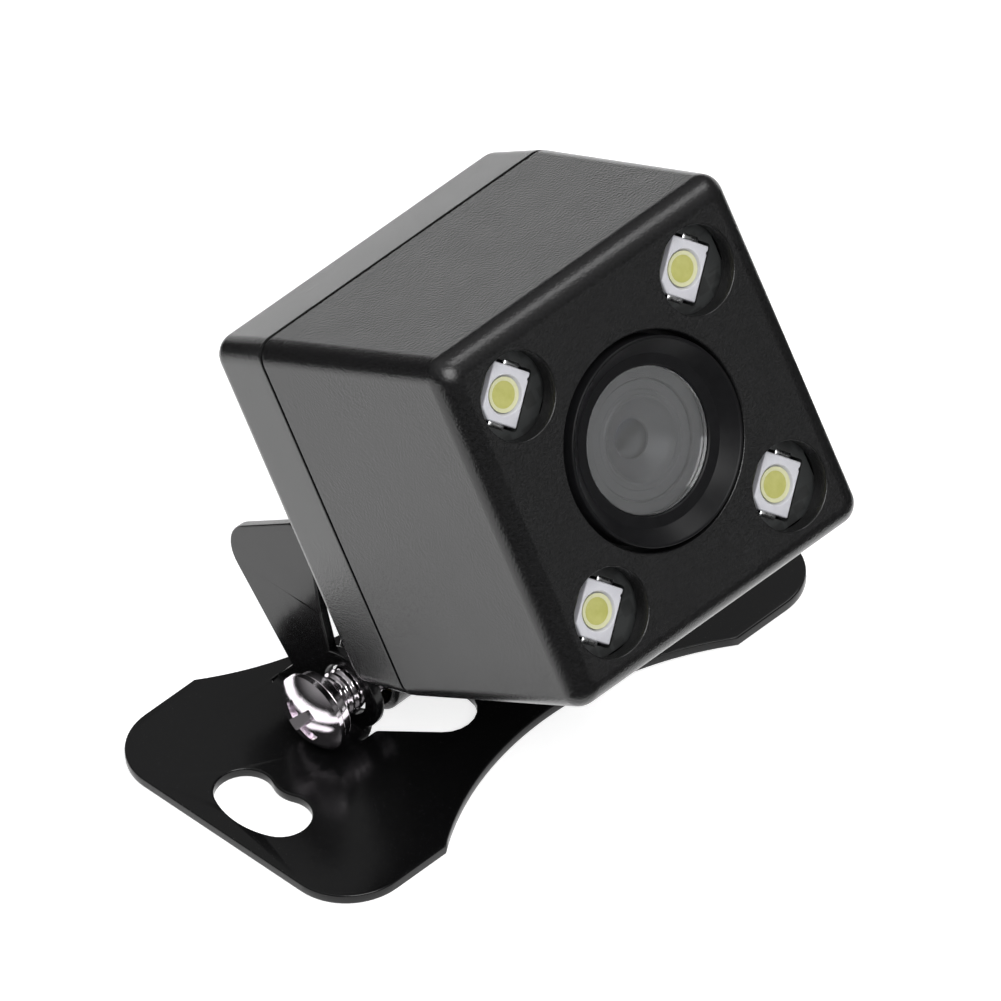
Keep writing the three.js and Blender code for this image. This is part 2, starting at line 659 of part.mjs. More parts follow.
// A pan head screw with a domed head and a cross recess.
function pivotScrew() {
  const [tip, headTop, rim] = [3.4, HEAD_SEAT + HEAD_HEIGHT, HEAD_SEAT + 0.45];
  const [lead, bevel, slotLength, slotWidth, slotDepth] = [0.5, 0.15, 3.1, 0.65, 1];
  const dome = capArc(HEAD_RADIUS, headTop, rim - headTop, 4).reverse();
  const body = turned([
    [0, tip], [SHANK_RADIUS - lead + 0.1, tip], [SHANK_RADIUS, tip + lead],
    [SHANK_RADIUS, HEAD_SEAT], [HEAD_RADIUS - bevel, HEAD_SEAT],
    [HEAD_RADIUS, HEAD_SEAT + bevel], ...dome,
  ]);
  const bar = prismY(
    roundedRectangle(slotLength, slotWidth, 0), headTop - slotDepth, headTop + PAST);
  return body.subtract(bar.rotate([0, 20, 0])).subtract(bar.rotate([0, 110, 0]));
}

// A split lock washer: a flat ring with a narrow slot cut through one side.
function springWasher() {
  const [outer, thickness, gap, slotWidth] = [2.3, 0.8, 0.05, 0.45];
  const middle = (WASHER_BORE_RADIUS + outer) / 2;
  const slot = prismY(roundedRectangle(2, slotWidth, 0), 0, 2 * HEAD_SEAT)
    .translate([middle, 0, 0]);
  return ring(WASHER_BORE_RADIUS, outer, HEAD_SEAT - gap - thickness, HEAD_SEAT - gap)
    .subtract(slot.rotate([0, 70, 0]));
}

// A brass insert with a waist groove that keys it into the moulded lug.
function threadInsert() {
  const [inner, outer, waist] = [SHANK_RADIUS + 0.12, INSERT_BORE_RADIUS - 0.15, 1.8];
  const [start, end] = [2.3, LUG_HALF_WIDTH - 1.2];
  const [waistStart, waistEnd] = [(start + end) / 2 - 0.4, (start + end) / 2 + 0.4];
  return turned([
    [inner, start], [outer, start], [outer, waistStart], [waist, waistStart],
    [waist, waistEnd], [outer, waistEnd], [outer, end], [inner, end], [inner, start],
  ], 20);
}

function pivotHardware() {
  const pieces = new THREE.Group();
  for (const [side, sign] of SIDES) {
    const toSide = (body) => body.rotate([0, 0, -90 * sign]);
    pieces.add(mesh(`pivot_screw_${side}`, toSide(pivotScrew()), chrome));
    pieces.add(mesh(`spring_washer_${side}`, toSide(springWasher()), chrome));
    pieces.add(mesh(`thread_insert_${side}`, toSide(threadInsert()), brass));
  }
  return pieces;
}

// ---------------------------------------------------------------- assembly

function cameraBody() {
  const camera = new THREE.Group();
  camera.add(frontHousing(), rearCover(), housingSeal(), cableGland());
  camera.add(lensBezel(), coverGlass(), windowSeal(), lensBarrel(), lensHolder(), imageSensor());
  camera.add(lensElement('front_lens', 1.9, 2.6, 4.2, 0.45));
  camera.add(lensElement('rear_lens', 1.9, 8, 10.4, 0.6));
  camera.add(mesh('ir_filter', disc(2.2, BARREL_REAR + 0.35, BARREL_REAR + 0.8), filterGlass));
  camera.add(ledBoard(), sensorBoard(), linkHeader(), cableHeader());
  for (const [place, x, z] of squarePattern(LED_PITCH)) {
    camera.add(ledPackage(place, x, z), ledPhosphor(place, x, z));
  }
  for (const [place, x, z] of squarePattern(2 * BOSS_OFFSET)) {
    camera.add(coverScrew(place, x, z));
  }
  camera.position.set(
    0, -(CAMERA_DEPTH + PIVOT_BEHIND), CAMERA_HEIGHT / 2 + PIVOT_BELOW);
  return camera;
}

// The camera with its pivot hardware, turned about the pivot so that it looks upwards.
function tiltingHead() {
  const head = new THREE.Group();
  head.add(cameraBody(), pivotHardware());
  head.position.set(0, PIVOT_Y, PIVOT_Z);
  head.rotation.x = -TILT;
  return head;
}

const assembly = new THREE.Group();
assembly.name = 'backup_camera';
assembly.add(baseBracket(), tiltingHead());

export default assembly;
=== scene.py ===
"""The looks of the backup camera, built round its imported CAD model.

The camera head is built in a frame of its own, in millimetres: the origin is the centre
of its front face, +Y runs from the front face to the rear and +Z is the top. HEAD turns
that frame into the model's. The bracket is built in the model's frame, in millimetres.
"""

import json
import math

import bmesh
import bpy
from mathutils import Matrix, Vector
from mathutils.geometry import tessellate_polygon
from mathutils.noise import noise as noise_at

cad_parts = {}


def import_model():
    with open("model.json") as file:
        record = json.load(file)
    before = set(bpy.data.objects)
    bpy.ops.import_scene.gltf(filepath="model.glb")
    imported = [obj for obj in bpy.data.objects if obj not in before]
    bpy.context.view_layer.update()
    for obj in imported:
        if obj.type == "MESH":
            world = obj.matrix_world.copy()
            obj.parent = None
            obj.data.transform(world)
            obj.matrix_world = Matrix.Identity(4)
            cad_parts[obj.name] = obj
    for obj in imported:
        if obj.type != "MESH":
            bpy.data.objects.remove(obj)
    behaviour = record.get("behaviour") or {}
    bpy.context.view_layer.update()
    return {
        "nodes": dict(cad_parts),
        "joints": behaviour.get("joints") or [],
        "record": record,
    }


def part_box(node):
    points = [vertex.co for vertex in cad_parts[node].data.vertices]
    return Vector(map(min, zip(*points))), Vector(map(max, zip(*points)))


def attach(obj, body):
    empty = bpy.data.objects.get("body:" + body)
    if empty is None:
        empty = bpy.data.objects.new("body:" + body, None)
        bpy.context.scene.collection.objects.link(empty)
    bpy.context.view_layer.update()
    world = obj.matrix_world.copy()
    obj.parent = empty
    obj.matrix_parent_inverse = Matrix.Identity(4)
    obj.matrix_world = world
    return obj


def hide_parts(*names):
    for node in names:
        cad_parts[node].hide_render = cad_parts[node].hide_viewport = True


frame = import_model()

MM = 0.001
TURN = 2 * math.pi
SIDES = (("left", -1), ("right", 1))
ROWS = (("upper", 1), ("lower", -1))
# How far the middle of the window lies behind the front face.
GLASS_MIDDLE_DEPTH = 1.05


# ---------------------------------------------------------------- the model's frame


def middle(node):
    """The centre of a CAD node's box."""
    low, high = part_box(node)
    return (low + high) / 2


REARWARDS = (middle("ir_filter") - middle("cover_glass")).normalized()
TILT = math.atan2(-REARWARDS.z, REARWARDS.y)
FACE_CENTRE = middle("cover_glass") - REARWARDS * GLASS_MIDDLE_DEPTH * MM
HEAD = Matrix.Translation(FACE_CENTRE) @ Matrix.Rotation(-TILT, 4, "X") @ Matrix.Scale(MM, 4)
GROUND = Matrix.Scale(MM, 4)


def local_box(node, place=HEAD):
    """A CAD node's lowest and highest corner in the frame of place, in millimetres."""
    back = place.inverted()
    points = [back @ v.co for v in frame["nodes"][node].data.vertices]
    low = Vector([min(p[i] for p in points) for i in range(3)])
    high = Vector([max(p[i] for p in points) for i in range(3)])
    return low, high


def local_middle(node, place=HEAD):
    low, high = local_box(node, place)
    return (low + high) / 2


# How much each side of the shells stands out at the seam.
SWELL = 0.4
HOUSING_LOW, HOUSING_HIGH = local_box("front_housing")
WIDTH = HOUSING_HIGH.x - HOUSING_LOW.x - 2 * SWELL
HEIGHT = HOUSING_HIGH.z - HOUSING_LOW.z - 2 * SWELL
HOUSING_DEPTH = HOUSING_HIGH.y
GLAND_REACH = 3.6
COVER_REAR = local_box("cable_gland")[1].y - GLAND_REACH
SEAM = 0.3
# The seam as the finished shells show it, with their rims drawn together a little.
SEAM_SHOWN = 0.16
COVER_FRONT = HOUSING_DEPTH + SEAM
EDGE_RADIUS = 1.3
RIM_RADIUS = 1.5
WALL = 1.5
FRONT_WALL = 1.2
COVER_WALL = 1.8
CAVITY_CORNER = 0.8
GLAND_NECK_RADIUS = 3.0
CLEARANCE = 0.3
# How far a cutting body runs past the body it cuts.
PAST = 1.0
BEZEL_LOW, BEZEL_HIGH = local_box("lens_bezel")
GLASS_LOW, GLASS_HIGH = local_box("cover_glass")
BEZEL_FLANGE = 1.0
BEZEL_RADIUS = BEZEL_HIGH.x - BEZEL_FLANGE
LENS_HOLE_RADIUS = BEZEL_RADIUS + CLEARANCE
BARREL_LOW, BARREL_HIGH = local_box("lens_barrel")
LED_LOW, LED_HIGH = local_box("led_upper_left")
LED_FRONT = LED_LOW.y
LED_HEIGHT = LED_HIGH.y - LED_LOW.y
LED_LENGTH = 3.5
LED_WIDTH = 2.8
LED_TURN = -45
LED_HOLE_RADIUS = 2.75
BOARD_LOW, BOARD_HIGH = local_box("led_board")
PIVOT = HEAD.inverted() @ Vector(frame["joints"][0]["pos_m"])
GROUND_PIVOT = GROUND.inverted() @ Vector(frame["joints"][0]["pos_m"])
LUG_HALF_WIDTH = 7.0
LUG_RADIUS = 2.6
INSERT_BORE_RADIUS = 2.15
SCREW_LOW, SCREW_HIGH = local_box("pivot_screw_right")
SCREW_HEAD_RADIUS = (SCREW_HIGH.z - SCREW_LOW.z) / 2
HEAD_HEIGHT = 1.5
SCREW_SEAT = SCREW_HIGH.x - HEAD_HEIGHT
SHANK_RADIUS = 1.45


# ---------------------------------------------------------------- outlines


def arc(centre, radius, start, end, steps):
    """Points on an arc, both ends included."""
    return [
        Vector((
            centre[0] + radius * math.cos(start + (end - start) * k / steps),
            centre[1] + radius * math.sin(start + (end - start) * k / steps),
        ))
        for k in range(steps + 1)
    ]


def circle(centre, radius, steps):
    return arc(centre, radius, 0, TURN, steps)[:-1]


def rounded(corners, steps=8):
    """A closed outline whose corners (x, y, radius) are rounded by tangent arcs."""
    points = []
    for i, (x, y, radius) in enumerate(corners):
        corner = Vector((x, y))
        if not radius:
            points.append(corner)
            continue
        back = (Vector(corners[i - 1][:2]) - corner).normalized()
        ahead = (Vector(corners[(i + 1) % len(corners)][:2]) - corner).normalized()
        half = math.acos(max(-1, min(1, back.dot(ahead)))) / 2
        centre = corner + (back + ahead).normalized() * radius / math.sin(half)
        start = corner + back * radius / math.tan(half) - centre
        sweep = (math.pi - 2 * half) * (-1 if back.cross(ahead) > 0 else 1)
        for k in range(steps + 1):
            points.append(centre + Matrix.Rotation(sweep * k / steps, 2) @ start)
    return points


def rectangle(width, height, radius=0, steps=6):
    x, y = width / 2, height / 2
    return rounded([(-x, -y, radius), (x, -y, radius), (x, y, radius), (-x, y, radius)], steps)


def signed_area(outline):
    return sum(a.cross(b) for a, b in zip(outline, outline[1:] + outline[:1])) / 2


def inset(outline, distance):
    """The outline moved to its left by a small distance, with mitred corners."""
    moved = []
    for i, point in enumerate(outline):
        along = (point - outline[i - 1]).normalized()
        onward = (outline[(i + 1) % len(outline)] - point).normalized()
        normal = Vector((-along.y - onward.y, along.x + onward.x)).normalized()
        stretch = max(0.5, normal.dot(Vector((-along.y, along.x))))
        moved.append(point + normal * distance / stretch)
    return moved


# ---------------------------------------------------------------- meshes


def closed(bm):
    bmesh.ops.remove_doubles(bm, verts=bm.verts, dist=1e-5)
    bmesh.ops.recalc_face_normals(bm, faces=bm.faces)
    mesh = bpy.data.meshes.new("piece")
    bm.to_mesh(mesh)
    bm.free()
    return mesh


def bridge(bm, first, second):
    for k in range(len(first)):
        j = (k + 1) % len(first)
        bm.faces.new((first[k], first[j], second[j], second[k]))


def skinned(rings):
    """A solid through rings of points, capped at both ends."""
    bm = bmesh.new()
    placed = [[bm.verts.new(point) for point in ring] for ring in rings]
    for first, second in zip(placed, placed[1:]):
        bridge(bm, first, second)
    bm.faces.new(placed[0])
    bm.faces.new(placed[-1])
    return closed(bm)


def prism(outer, z0, z1, holes=(), edge=0.0, steps=3):
    """A plate between z0 and z1 whose edges are all rounded by edge, with holes through it."""
    loops = [outer if signed_area(outer) > 0 else outer[::-1]]
    loops += [h if signed_area(h) < 0 else h[::-1] for h in holes]
    stations = []
    for k in range(steps + 1 if edge else 1):
        angle = k / steps * math.pi / 2
        stations.append((edge * (1 - math.sin(angle)), edge * (1 - math.cos(angle))))
    bm = bmesh.new()
    caps = {z0: [], z1: []}
    for loop in loops:
        rings = []
        for distance, height in stations:
            rings.append((inset(loop, distance) if distance else loop, z0 + height))
        for distance, height in reversed(stations):
            rings.append((inset(loop, distance) if distance else loop, z1 - height))
        placed = [[bm.verts.new((p.x, p.y, z)) for p in ring] for ring, z in rings]
        for first, second in zip(placed, placed[1:]):
            bridge(bm, first, second)
        caps[z0].append(placed[0])
        caps[z1].append(placed[-1])
    for rings in caps.values():
        flat = [vertex for ring in rings for vertex in ring]
        for a, b, c in tessellate_polygon([[v.co for v in ring] for ring in rings]):
            bm.faces.new((flat[a], flat[b], flat[c]))
    return closed(bm)


def along_y(mesh):
    """Turns a plate raised along +Z in (x, z) so that its thickness runs along +Y."""
    mesh.transform(Matrix(((1, 0, 0, 0), (0, 0, 1, 0), (0, 1, 0, 0), (0, 0, 0, 1))))
    mesh.flip_normals()
    return mesh


def along_x(mesh):
    """Turns a plate drawn in (y, z) so that its thickness runs along +X."""
    mesh.transform(Matrix(((0, 0, 1, 0), (1, 0, 0, 0), (0, 1, 0, 0), (0, 0, 0, 1))))
    return mesh


def lathe(profile, segments=96):
    """A solid from [radius, y] points turned about the Y axis."""
    bm = bmesh.new()
    rings = []
    for radius, y in profile:
        if radius < 1e-6:
            rings.append([bm.verts.new((0, y, 0))] * segments)
            continue
        rings.append([
            bm.verts.new((
                radius * math.cos(TURN * k / segments), y, radius * math.sin(TURN * k / segments)))
            for k in range(segments)
        ])
    for first, second in zip(rings, rings[1:]):
        for k in range(segments):
            j = (k + 1) % segments
            corners = list(dict.fromkeys((first[k], first[j], second[j], second[k])))
            if len(corners) > 2:
                bm.faces.new(corners)
    return closed(bm)


def moved(mesh, x=0.0, y=0.0, z=0.0):
    mesh.transform(Matrix.Translation((x, y, z)))
    return mesh


def turned(mesh, degrees, axis="Y"):
    mesh.transform(Matrix.Rotation(math.radians(degrees), 4, axis))
    return mesh


def combine(mesh, others, operation):
    """The mesh with the others added or cut away."""
    target = bpy.data.objects.new("target", mesh)
    bpy.context.scene.collection.objects.link(target)
    tools = []
    for other in others:
        tool = bpy.data.objects.new("tool", other)
        bpy.context.scene.collection.objects.link(tool)
        tools.append(tool)
        modifier = target.modifiers.new("combine", "BOOLEAN")
        modifier.operation = operation
        modifier.solver = "EXACT"
        modifier.object = tool
    graph = bpy.context.evaluated_depsgraph_get()
    result = bpy.data.meshes.new_from_object(target.evaluated_get(graph))
    for thing in [target, *tools]:
        bpy.data.objects.remove(thing)
    return result


def cut(mesh, *others):
    return combine(mesh, others, "DIFFERENCE")


def add(mesh, *others):
    return combine(mesh, others, "UNION")


def piece(name, mesh, slot, nodes=(), look=None, place=HEAD, body="camera", smooth=35):
    """Puts a mesh drawn in millimetres into the scene as a finished piece."""
    mesh.transform(place)
    mesh.name = name
    mesh.materials.clear()
    mesh.materials.append(look or LOOKS[slot])
    for face in mesh.polygons:
        face.use_smooth = True
        face.material_index = 0
    mesh.set_sharp_from_angle(angle=math.radians(smooth))
    made = bpy.data.objects.new(name, mesh)
    bpy.context.scene.collection.objects.link(made)
    normals = made.modifiers.new("normals", "WEIGHTED_NORMAL")
    normals.keep_sharp = True
    normals.weight = 80
    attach(made, body)
    if nodes:
        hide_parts(*nodes)


# ---------------------------------------------------------------- looks


def new_look(name):
    look = bpy.data.materials.new(name)
    look.use_nodes = True
    return look


def node(look, kind, inputs=None, **settings):
    """Adds a shader node; an input is a value or another node's output."""
    made = look.node_tree.nodes.new(kind)
    for name, value in settings.items():
        setattr(made, name, value)
    for name, value in (inputs or {}).items():
        if isinstance(value, bpy.types.NodeSocket):
            look.node_tree.links.new(value, made.inputs[name])
        else:
            made.inputs[name].default_value = value
    return made


def shade(look, **inputs):
    """Sets the look's shader sockets; underscores stand for spaces."""
    shader = look.node_tree.nodes["Principled BSDF"]
    for name, value in inputs.items():
        socket = shader.inputs[name.replace("_", " ")]
        if isinstance(value, bpy.types.NodeSocket):
            look.node_tree.links.new(value, socket)
        else:
            socket.default_value = value


def millimetres(look, stretch=(1, 1, 1)):
    """Object coordinates, in millimetres."""
    place = node(look, "ShaderNodeTexCoord").outputs["Object"]
    scale = [1000 * s for s in stretch]
    mapped = node(look, "ShaderNodeMapping", {"Vector": place, "Scale": scale})
    return mapped.outputs["Vector"]


def noise(look, place, per_mm, detail=2.0, rough=0.5):
    made = node(look, "ShaderNodeTexNoise", {
        "Vector": place, "Scale": per_mm, "Detail": detail, "Roughness": rough})
    return made.outputs["Fac"]


def between(look, factor, low, high, start=0.3, end=0.7):
    """Maps a factor's middle range to low .. high."""
    made = node(look, "ShaderNodeMapRange", {
        "Value": factor, "From Min": start, "From Max": end, "To Min": low, "To Max": high})
    return made.outputs["Result"]


def tint(look, factor, first, second):
    made = node(look, "ShaderNodeMix", data_type="RGBA")
    look.node_tree.links.new(factor, made.inputs["Factor"])
    made.inputs["A"].default_value = (*first, 1)
    made.inputs["B"].default_value = (*second, 1)
    return made.outputs["Result"]


def bump(look, height, depth_mm, normal=None):
    inputs = {"Height": height, "Distance": depth_mm * MM, "Strength": 1.0}
    if normal is not None:
        inputs["Normal"] = normal
    return node(look, "ShaderNodeBump", inputs).outputs["Normal"]


def grained(
        name, dark, light, low, high, per_mm=4.0, detail=3.0, depth=0.006, stretch=(1, 1, 1),
        **sockets):
    """A material whose colour, roughness and relief all follow one grain."""
    look = new_look(name)
    grain = noise(look, millimetres(look, stretch), per_mm, detail)
    shade(
        look,
        Base_Color=tint(look, grain, dark, light),
        Roughness=between(look, grain, low, high),
        Normal=bump(look, grain, depth),
        **sockets,
    )
    return look


def textured_plastic():
    """Black moulded plastic with a fine spark-eroded grain."""
    look = new_look("textured_black_plastic")
    place = millimetres(look)
    grain = noise(look, place, 6.5, 2.0, 0.6)
    patches = noise(look, place, 0.35, 2.0)
    heights = between(look, grain, 0, 1)
    relief = bump(look, heights, 0.010)
    shade(
        look,
        Base_Color=tint(look, heights, (0.004, 0.004, 0.004), (0.012, 0.012, 0.0125)),
        Roughness=between(look, patches, 0.19, 0.23),
        Normal=relief,
    )
    return look


def gloss_plastic():
    """Smooth black plastic of the bezel, the lens holder and the link header."""
    look = new_look("gloss_black_plastic")
    place = millimetres(look)
    smear = noise(look, place, 1.6, 3.0)
    relief = bump(look, noise(look, place, 9.0, 2.0), 0.002)
    shade(
        look,
        Base_Color=tint(look, smear, (0.006, 0.006, 0.0065), (0.010, 0.010, 0.011)),
        Roughness=between(look, smear, 0.30, 0.36),
        Specular_IOR_Level=0.14,
        Normal=relief,
    )
    return look


def barrel_finish():
    """Dark anodised finish of the lens barrel, a little uneven."""
    return grained(
        "anodised_barrel", (0.036, 0.036, 0.038), (0.048, 0.048, 0.050), 0.42, 0.50,
        per_mm=1.5, detail=2.0, depth=0.002)


def painted_steel():
    """Black gloss paint, with a slight orange peel and a few dust specks."""
    look = new_look("painted_black_steel")
    place = millimetres(look)
    peel = bump(look, noise(look, place, 1.1, 1.0), 0.006)
    dust = noise(look, place, 14.0, 0.0)
    specks = node(look, "ShaderNodeMapRange", {
        "Value": dust, "From Min": 0.78, "From Max": 0.86, "To Min": 0.0, "To Max": 1.0})
    relief = bump(look, specks.outputs["Result"], 0.01, peel)
    shade(
        look,
        Base_Color=tint(look, specks.outputs["Result"], (0.0045, 0.0045, 0.0048), (0.05, 0.05, 0.05)),
        Roughness=between(look, noise(look, place, 0.5, 2.0), 0.17, 0.22),
        Specular_IOR_Level=0.33,
        Normal=relief,
    )
    return look


def plated_steel():
    """Bright nickel plating with a faint violet cast and fine scratches."""
    look = new_look("plated_steel")
    place = millimetres(look)
    scratches = noise(look, millimetres(look, (1, 12, 3)), 2.2, 4.0, 0.7)
    cast = noise(look, place, 0.9, 1.0)
    shade(
        look,
        Base_Color=tint(look, cast, (0.90, 0.87, 0.90), (0.74, 0.67, 0.73)),
        Metallic=1.0,
        Roughness=between(look, scratches, 0.06, 0.14),
        Normal=bump(look, scratches, 0.003),
    )
    return look


def solder():
    """Dull bright solder."""
    return grained(
        "solder", (0.55, 0.56, 0.57), (0.72, 0.72, 0.72), 0.22, 0.38,
        per_mm=6.0, depth=0.01, Metallic=1.0)


def rubber():
    """Dull black rubber."""
    return grained(
        "black_rubber", (0.006, 0.006, 0.006), (0.014, 0.014, 0.014), 0.7, 0.85,
        per_mm=8.0, depth=0.012)


def clear_glass():
    """The flat window over the lens, with a faint film on it."""
    look = new_look("window_glass")
    film = noise(look, millimetres(look), 0.5, 3.0, 0.6)
    shade(
        look,
        Base_Color=tint(look, film, (0.90, 0.91, 0.92), (0.84, 0.85, 0.86)),
        Transmission_Weight=0.975,
        IOR=1.45,
        Roughness=between(look, film, 0.0, 0.01),
    )
    return look


def coated_glass():
    """Lens elements with a blue-violet anti-reflection coating."""
    look = new_look("coated_lens_glass")
    film = noise(look, millimetres(look), 0.8, 2.0)
    shade(
        look,
        Base_Color=tint(look, film, (0.22, 0.28, 0.44), (0.26, 0.28, 0.46)),
        Transmission_Weight=1.0,
        IOR=1.38,
        Roughness=between(look, film, 0.0, 0.01),
    )
    return look


def filter_glass():
    """The pale green filter in front of the sensor."""
    look = new_look("infrared_filter_glass")
    film = noise(look, millimetres(look), 1.0, 2.0)
    shade(
        look,
        Base_Color=tint(look, film, (0.35, 0.62, 0.58), (0.42, 0.58, 0.66)),
        Transmission_Weight=0.7,
        Roughness=between(look, film, 0.03, 0.06),
    )
    return look


def brass():
    """Turned brass, with grooves round it."""
    return grained(
        "turned_brass", (0.60, 0.42, 0.16), (0.72, 0.52, 0.22), 0.25, 0.4,
        per_mm=3.0, depth=0.01, stretch=(6, 1, 1), Metallic=1.0)


def led_plastic():
    """The pale moulded package of an LED."""
    look = new_look("led_package_plastic")
    place = millimetres(look)
    mottle = noise(look, place, 2.5, 3.0)
    shade(
        look,
        Base_Color=tint(look, mottle, (0.58, 0.58, 0.63), (0.66, 0.66, 0.69)),
        Roughness=between(look, mottle, 0.35, 0.5),
        Subsurface_Weight=0.15,
        Subsurface_Radius=(0.0004, 0.0004, 0.0004),
        Subsurface_Scale=0.5,
        Normal=bump(look, noise(look, place, 9.0, 2.0), 0.003),
    )
    return look


def phosphor_gel():
    """Silicone loaded with yellow phosphor, slightly uneven where the bond wires run."""
    look = new_look("phosphor_gel")
    place = millimetres(look)
    clouds = noise(look, place, 1.8, 3.0)
    shade(
        look,
        Base_Color=tint(look, clouds, (0.40, 0.40, 0.09), (0.56, 0.55, 0.20)),
        Roughness=between(look, clouds, 0.3, 0.45),
        Normal=bump(look, clouds, 0.015),
    )
    return look


def circuit_board(name, dark, light):
    """A board's solder mask, with faint traces under it."""
    look = new_look(name)
    place = millimetres(look)
    traces = node(look, "ShaderNodeTexVoronoi", {"Vector": place, "Scale": 0.9}, distance="CHEBYCHEV")
    shade(
        look,
        Base_Color=tint(look, between(look, traces.outputs["Distance"], 0, 1, 0.35, 0.4), dark, light),
        Roughness=between(look, noise(look, place, 3.0), 0.3, 0.42),
        Normal=bump(look, traces.outputs["Distance"], 0.01),
    )
    return look


LOOKS = {
    "black_plastic": textured_plastic(),
    "gloss_black_plastic": gloss_plastic(),
    "black_steel": painted_steel(),
    "chrome": plated_steel(),
    "black_rubber": rubber(),
    "optical_glass": coated_glass(),
    "filter_glass": filter_glass(),
    "brass": brass(),
    "led_body": led_plastic(),
    "phosphor": phosphor_gel(),
    "black_board": circuit_board("black_board", (0.024, 0.025, 0.025), (0.034, 0.036, 0.036)),
    "green_board": circuit_board("green_board", (0.008, 0.05, 0.025), (0.012, 0.075, 0.038)),
    "sensor_body": grained("sensor_package", (0.03, 0.03, 0.035), (0.05, 0.05, 0.06), 0.25, 0.35),
    "ivory_plastic": grained("ivory_plastic", (0.66, 0.60, 0.46), (0.74, 0.69, 0.56), 0.4, 0.5),
}
WINDOW = clear_glass()
GASKET = grained("grey_gasket", (0.030, 0.030, 0.031), (0.038, 0.038, 0.039), 0.5, 0.6)
BARREL = barrel_finish()
GEL_RIM = grained("gel_rim", (0.60, 0.60, 0.36), (0.68, 0.68, 0.44), 0.35, 0.45)
SOLDER = solder()


# ---------------------------------------------------------------- camera shell


def block(y0, y1, round_rear, steps=8):
    """A block with rounded long edges and one rounded rim, wider towards its plain end."""
    half_x, half_z = WIDTH / 2, HEIGHT / 2
    rim = EDGE_RADIUS if round_rear else RIM_RADIUS

    def ring(drawn_in, y):
        corner = EDGE_RADIUS - 0.6 * min(drawn_in, rim) * EDGE_RADIUS / rim
        flat = rectangle(2 * (half_x - drawn_in), 2 * (half_z - drawn_in), corner, steps)
        toward_seam = (y1 - y if round_rear else y - y0) / (y1 - y0)
        scale = 1 + SWELL / half_x * toward_seam
        return [(p.x * scale, y, p.y * scale) for p in flat]

    lip = 0.12
    plain, soft = (y0, y1) if round_rear else (y1, y0)
    inward = 1 if round_rear else -1
    stations = [(lip, plain), (lip * 0.3, plain + inward * lip * 0.3), (0, plain + inward * lip)]
    rim_steps = 2 * steps
    for k in range(rim_steps + 1):
        angle = k / rim_steps * math.pi / 2
        stations.append((
            rim * (1 - math.cos(angle)),
            soft - inward * rim * (1 - math.sin(angle)),
        ))
    return skinned([ring(*station) for station in stations])


def drill(radius, y0, y1, flare=0.0, x=0.0, z=0.0, segments=64):
    """A cutter for a hole from y0 to y1 whose mouth at y0 is rounded by flare."""
    profile = [(0, y0 - PAST), (radius + flare, y0 - PAST)]
    for k in range(5):
        angle = k / 4 * math.pi / 2
        profile.append((radius + flare * (1 - math.sin(angle)), y0 + flare * (1 - math.cos(angle))))
    profile += [(radius, y1), (0, y1)]
    return moved(lathe(profile, segments), x=x, z=z)


def plug(radius, y0, y1, segments=48):
    """A plain round bar along Y, for joining on or cutting away."""
    return lathe([(0, y0), (radius, y0), (radius, y1), (0, y1)], segments)


def four(pitch_x, pitch_z):
    """The names and centres of four features in a rectangle."""
    return [
        (f"{row}_{side}", sx * pitch_x / 2, sz * pitch_z / 2)
        for row, sz in ROWS for side, sx in SIDES
    ]


def pitch_of(prefix):
    """The spacing of four CAD nodes that share a prefix."""
    right, left = local_middle(f"{prefix}_upper_right"), local_middle(f"{prefix}_upper_left")
    low = local_middle(f"{prefix}_lower_right")
    return right.x - left.x, right.z - low.z


LED_PLACES = four(*pitch_of("phosphor"))
SCREW_PLACES = four(*pitch_of("cover_screw"))


def front_housing():
    """The front shell, open at the rear, with bosses for the rear cover's screws."""
    boss_radius, boss_front, pilot_radius, pilot_front = 1.35, 5.5, 0.75, 10.0
    bosses = []
    pilots = []
    for _, x, z in SCREW_PLACES:
        bosses.append(moved(plug(boss_radius, boss_front, HOUSING_DEPTH), x=x, z=z))
        pilots.append(moved(plug(pilot_radius, pilot_front, HOUSING_DEPTH + PAST), x=x, z=z))
    inside = rectangle(WIDTH - 2 * WALL, HEIGHT - 2 * WALL, CAVITY_CORNER)
    body = block(0, HOUSING_DEPTH + (SEAM - SEAM_SHOWN) / 2, False)
    body = cut(body, along_y(prism(inside, FRONT_WALL, HOUSING_DEPTH + PAST)))
    lens_hole = drill(LENS_HOLE_RADIUS, 0, FRONT_WALL + PAST, 0.12, segments=128)
    led_holes = [
        drill(LED_HOLE_RADIUS, 0, FRONT_WALL + PAST, 0.1, x, z) for _, x, z in LED_PLACES]
    body = cut(body, lens_hole, *led_holes)
    body = add(body, *bosses)
    body = cut(body, *pilots)
    piece("housing_shell", body, "black_plastic", ["front_housing"])


def tail_outline():
    """Two flanks from the rear wall that close tangent to the round lug."""
    lug = Vector((PIVOT.y, PIVOT.z))
    foot = COVER_REAR - COVER_WALL / 2
    lower, upper = Vector((foot, -8)), Vector((foot, -3))

    def tangent(start, sign):
        away = start - lug
        return math.atan2(away.y, away.x) + sign * math.acos(LUG_RADIUS / away.length)

    first, last = tangent(lower, 1), tangent(upper, -1)
    if last < first:
        last += TURN
    return [upper, lower, *arc(lug, LUG_RADIUS, first, last, 40)]


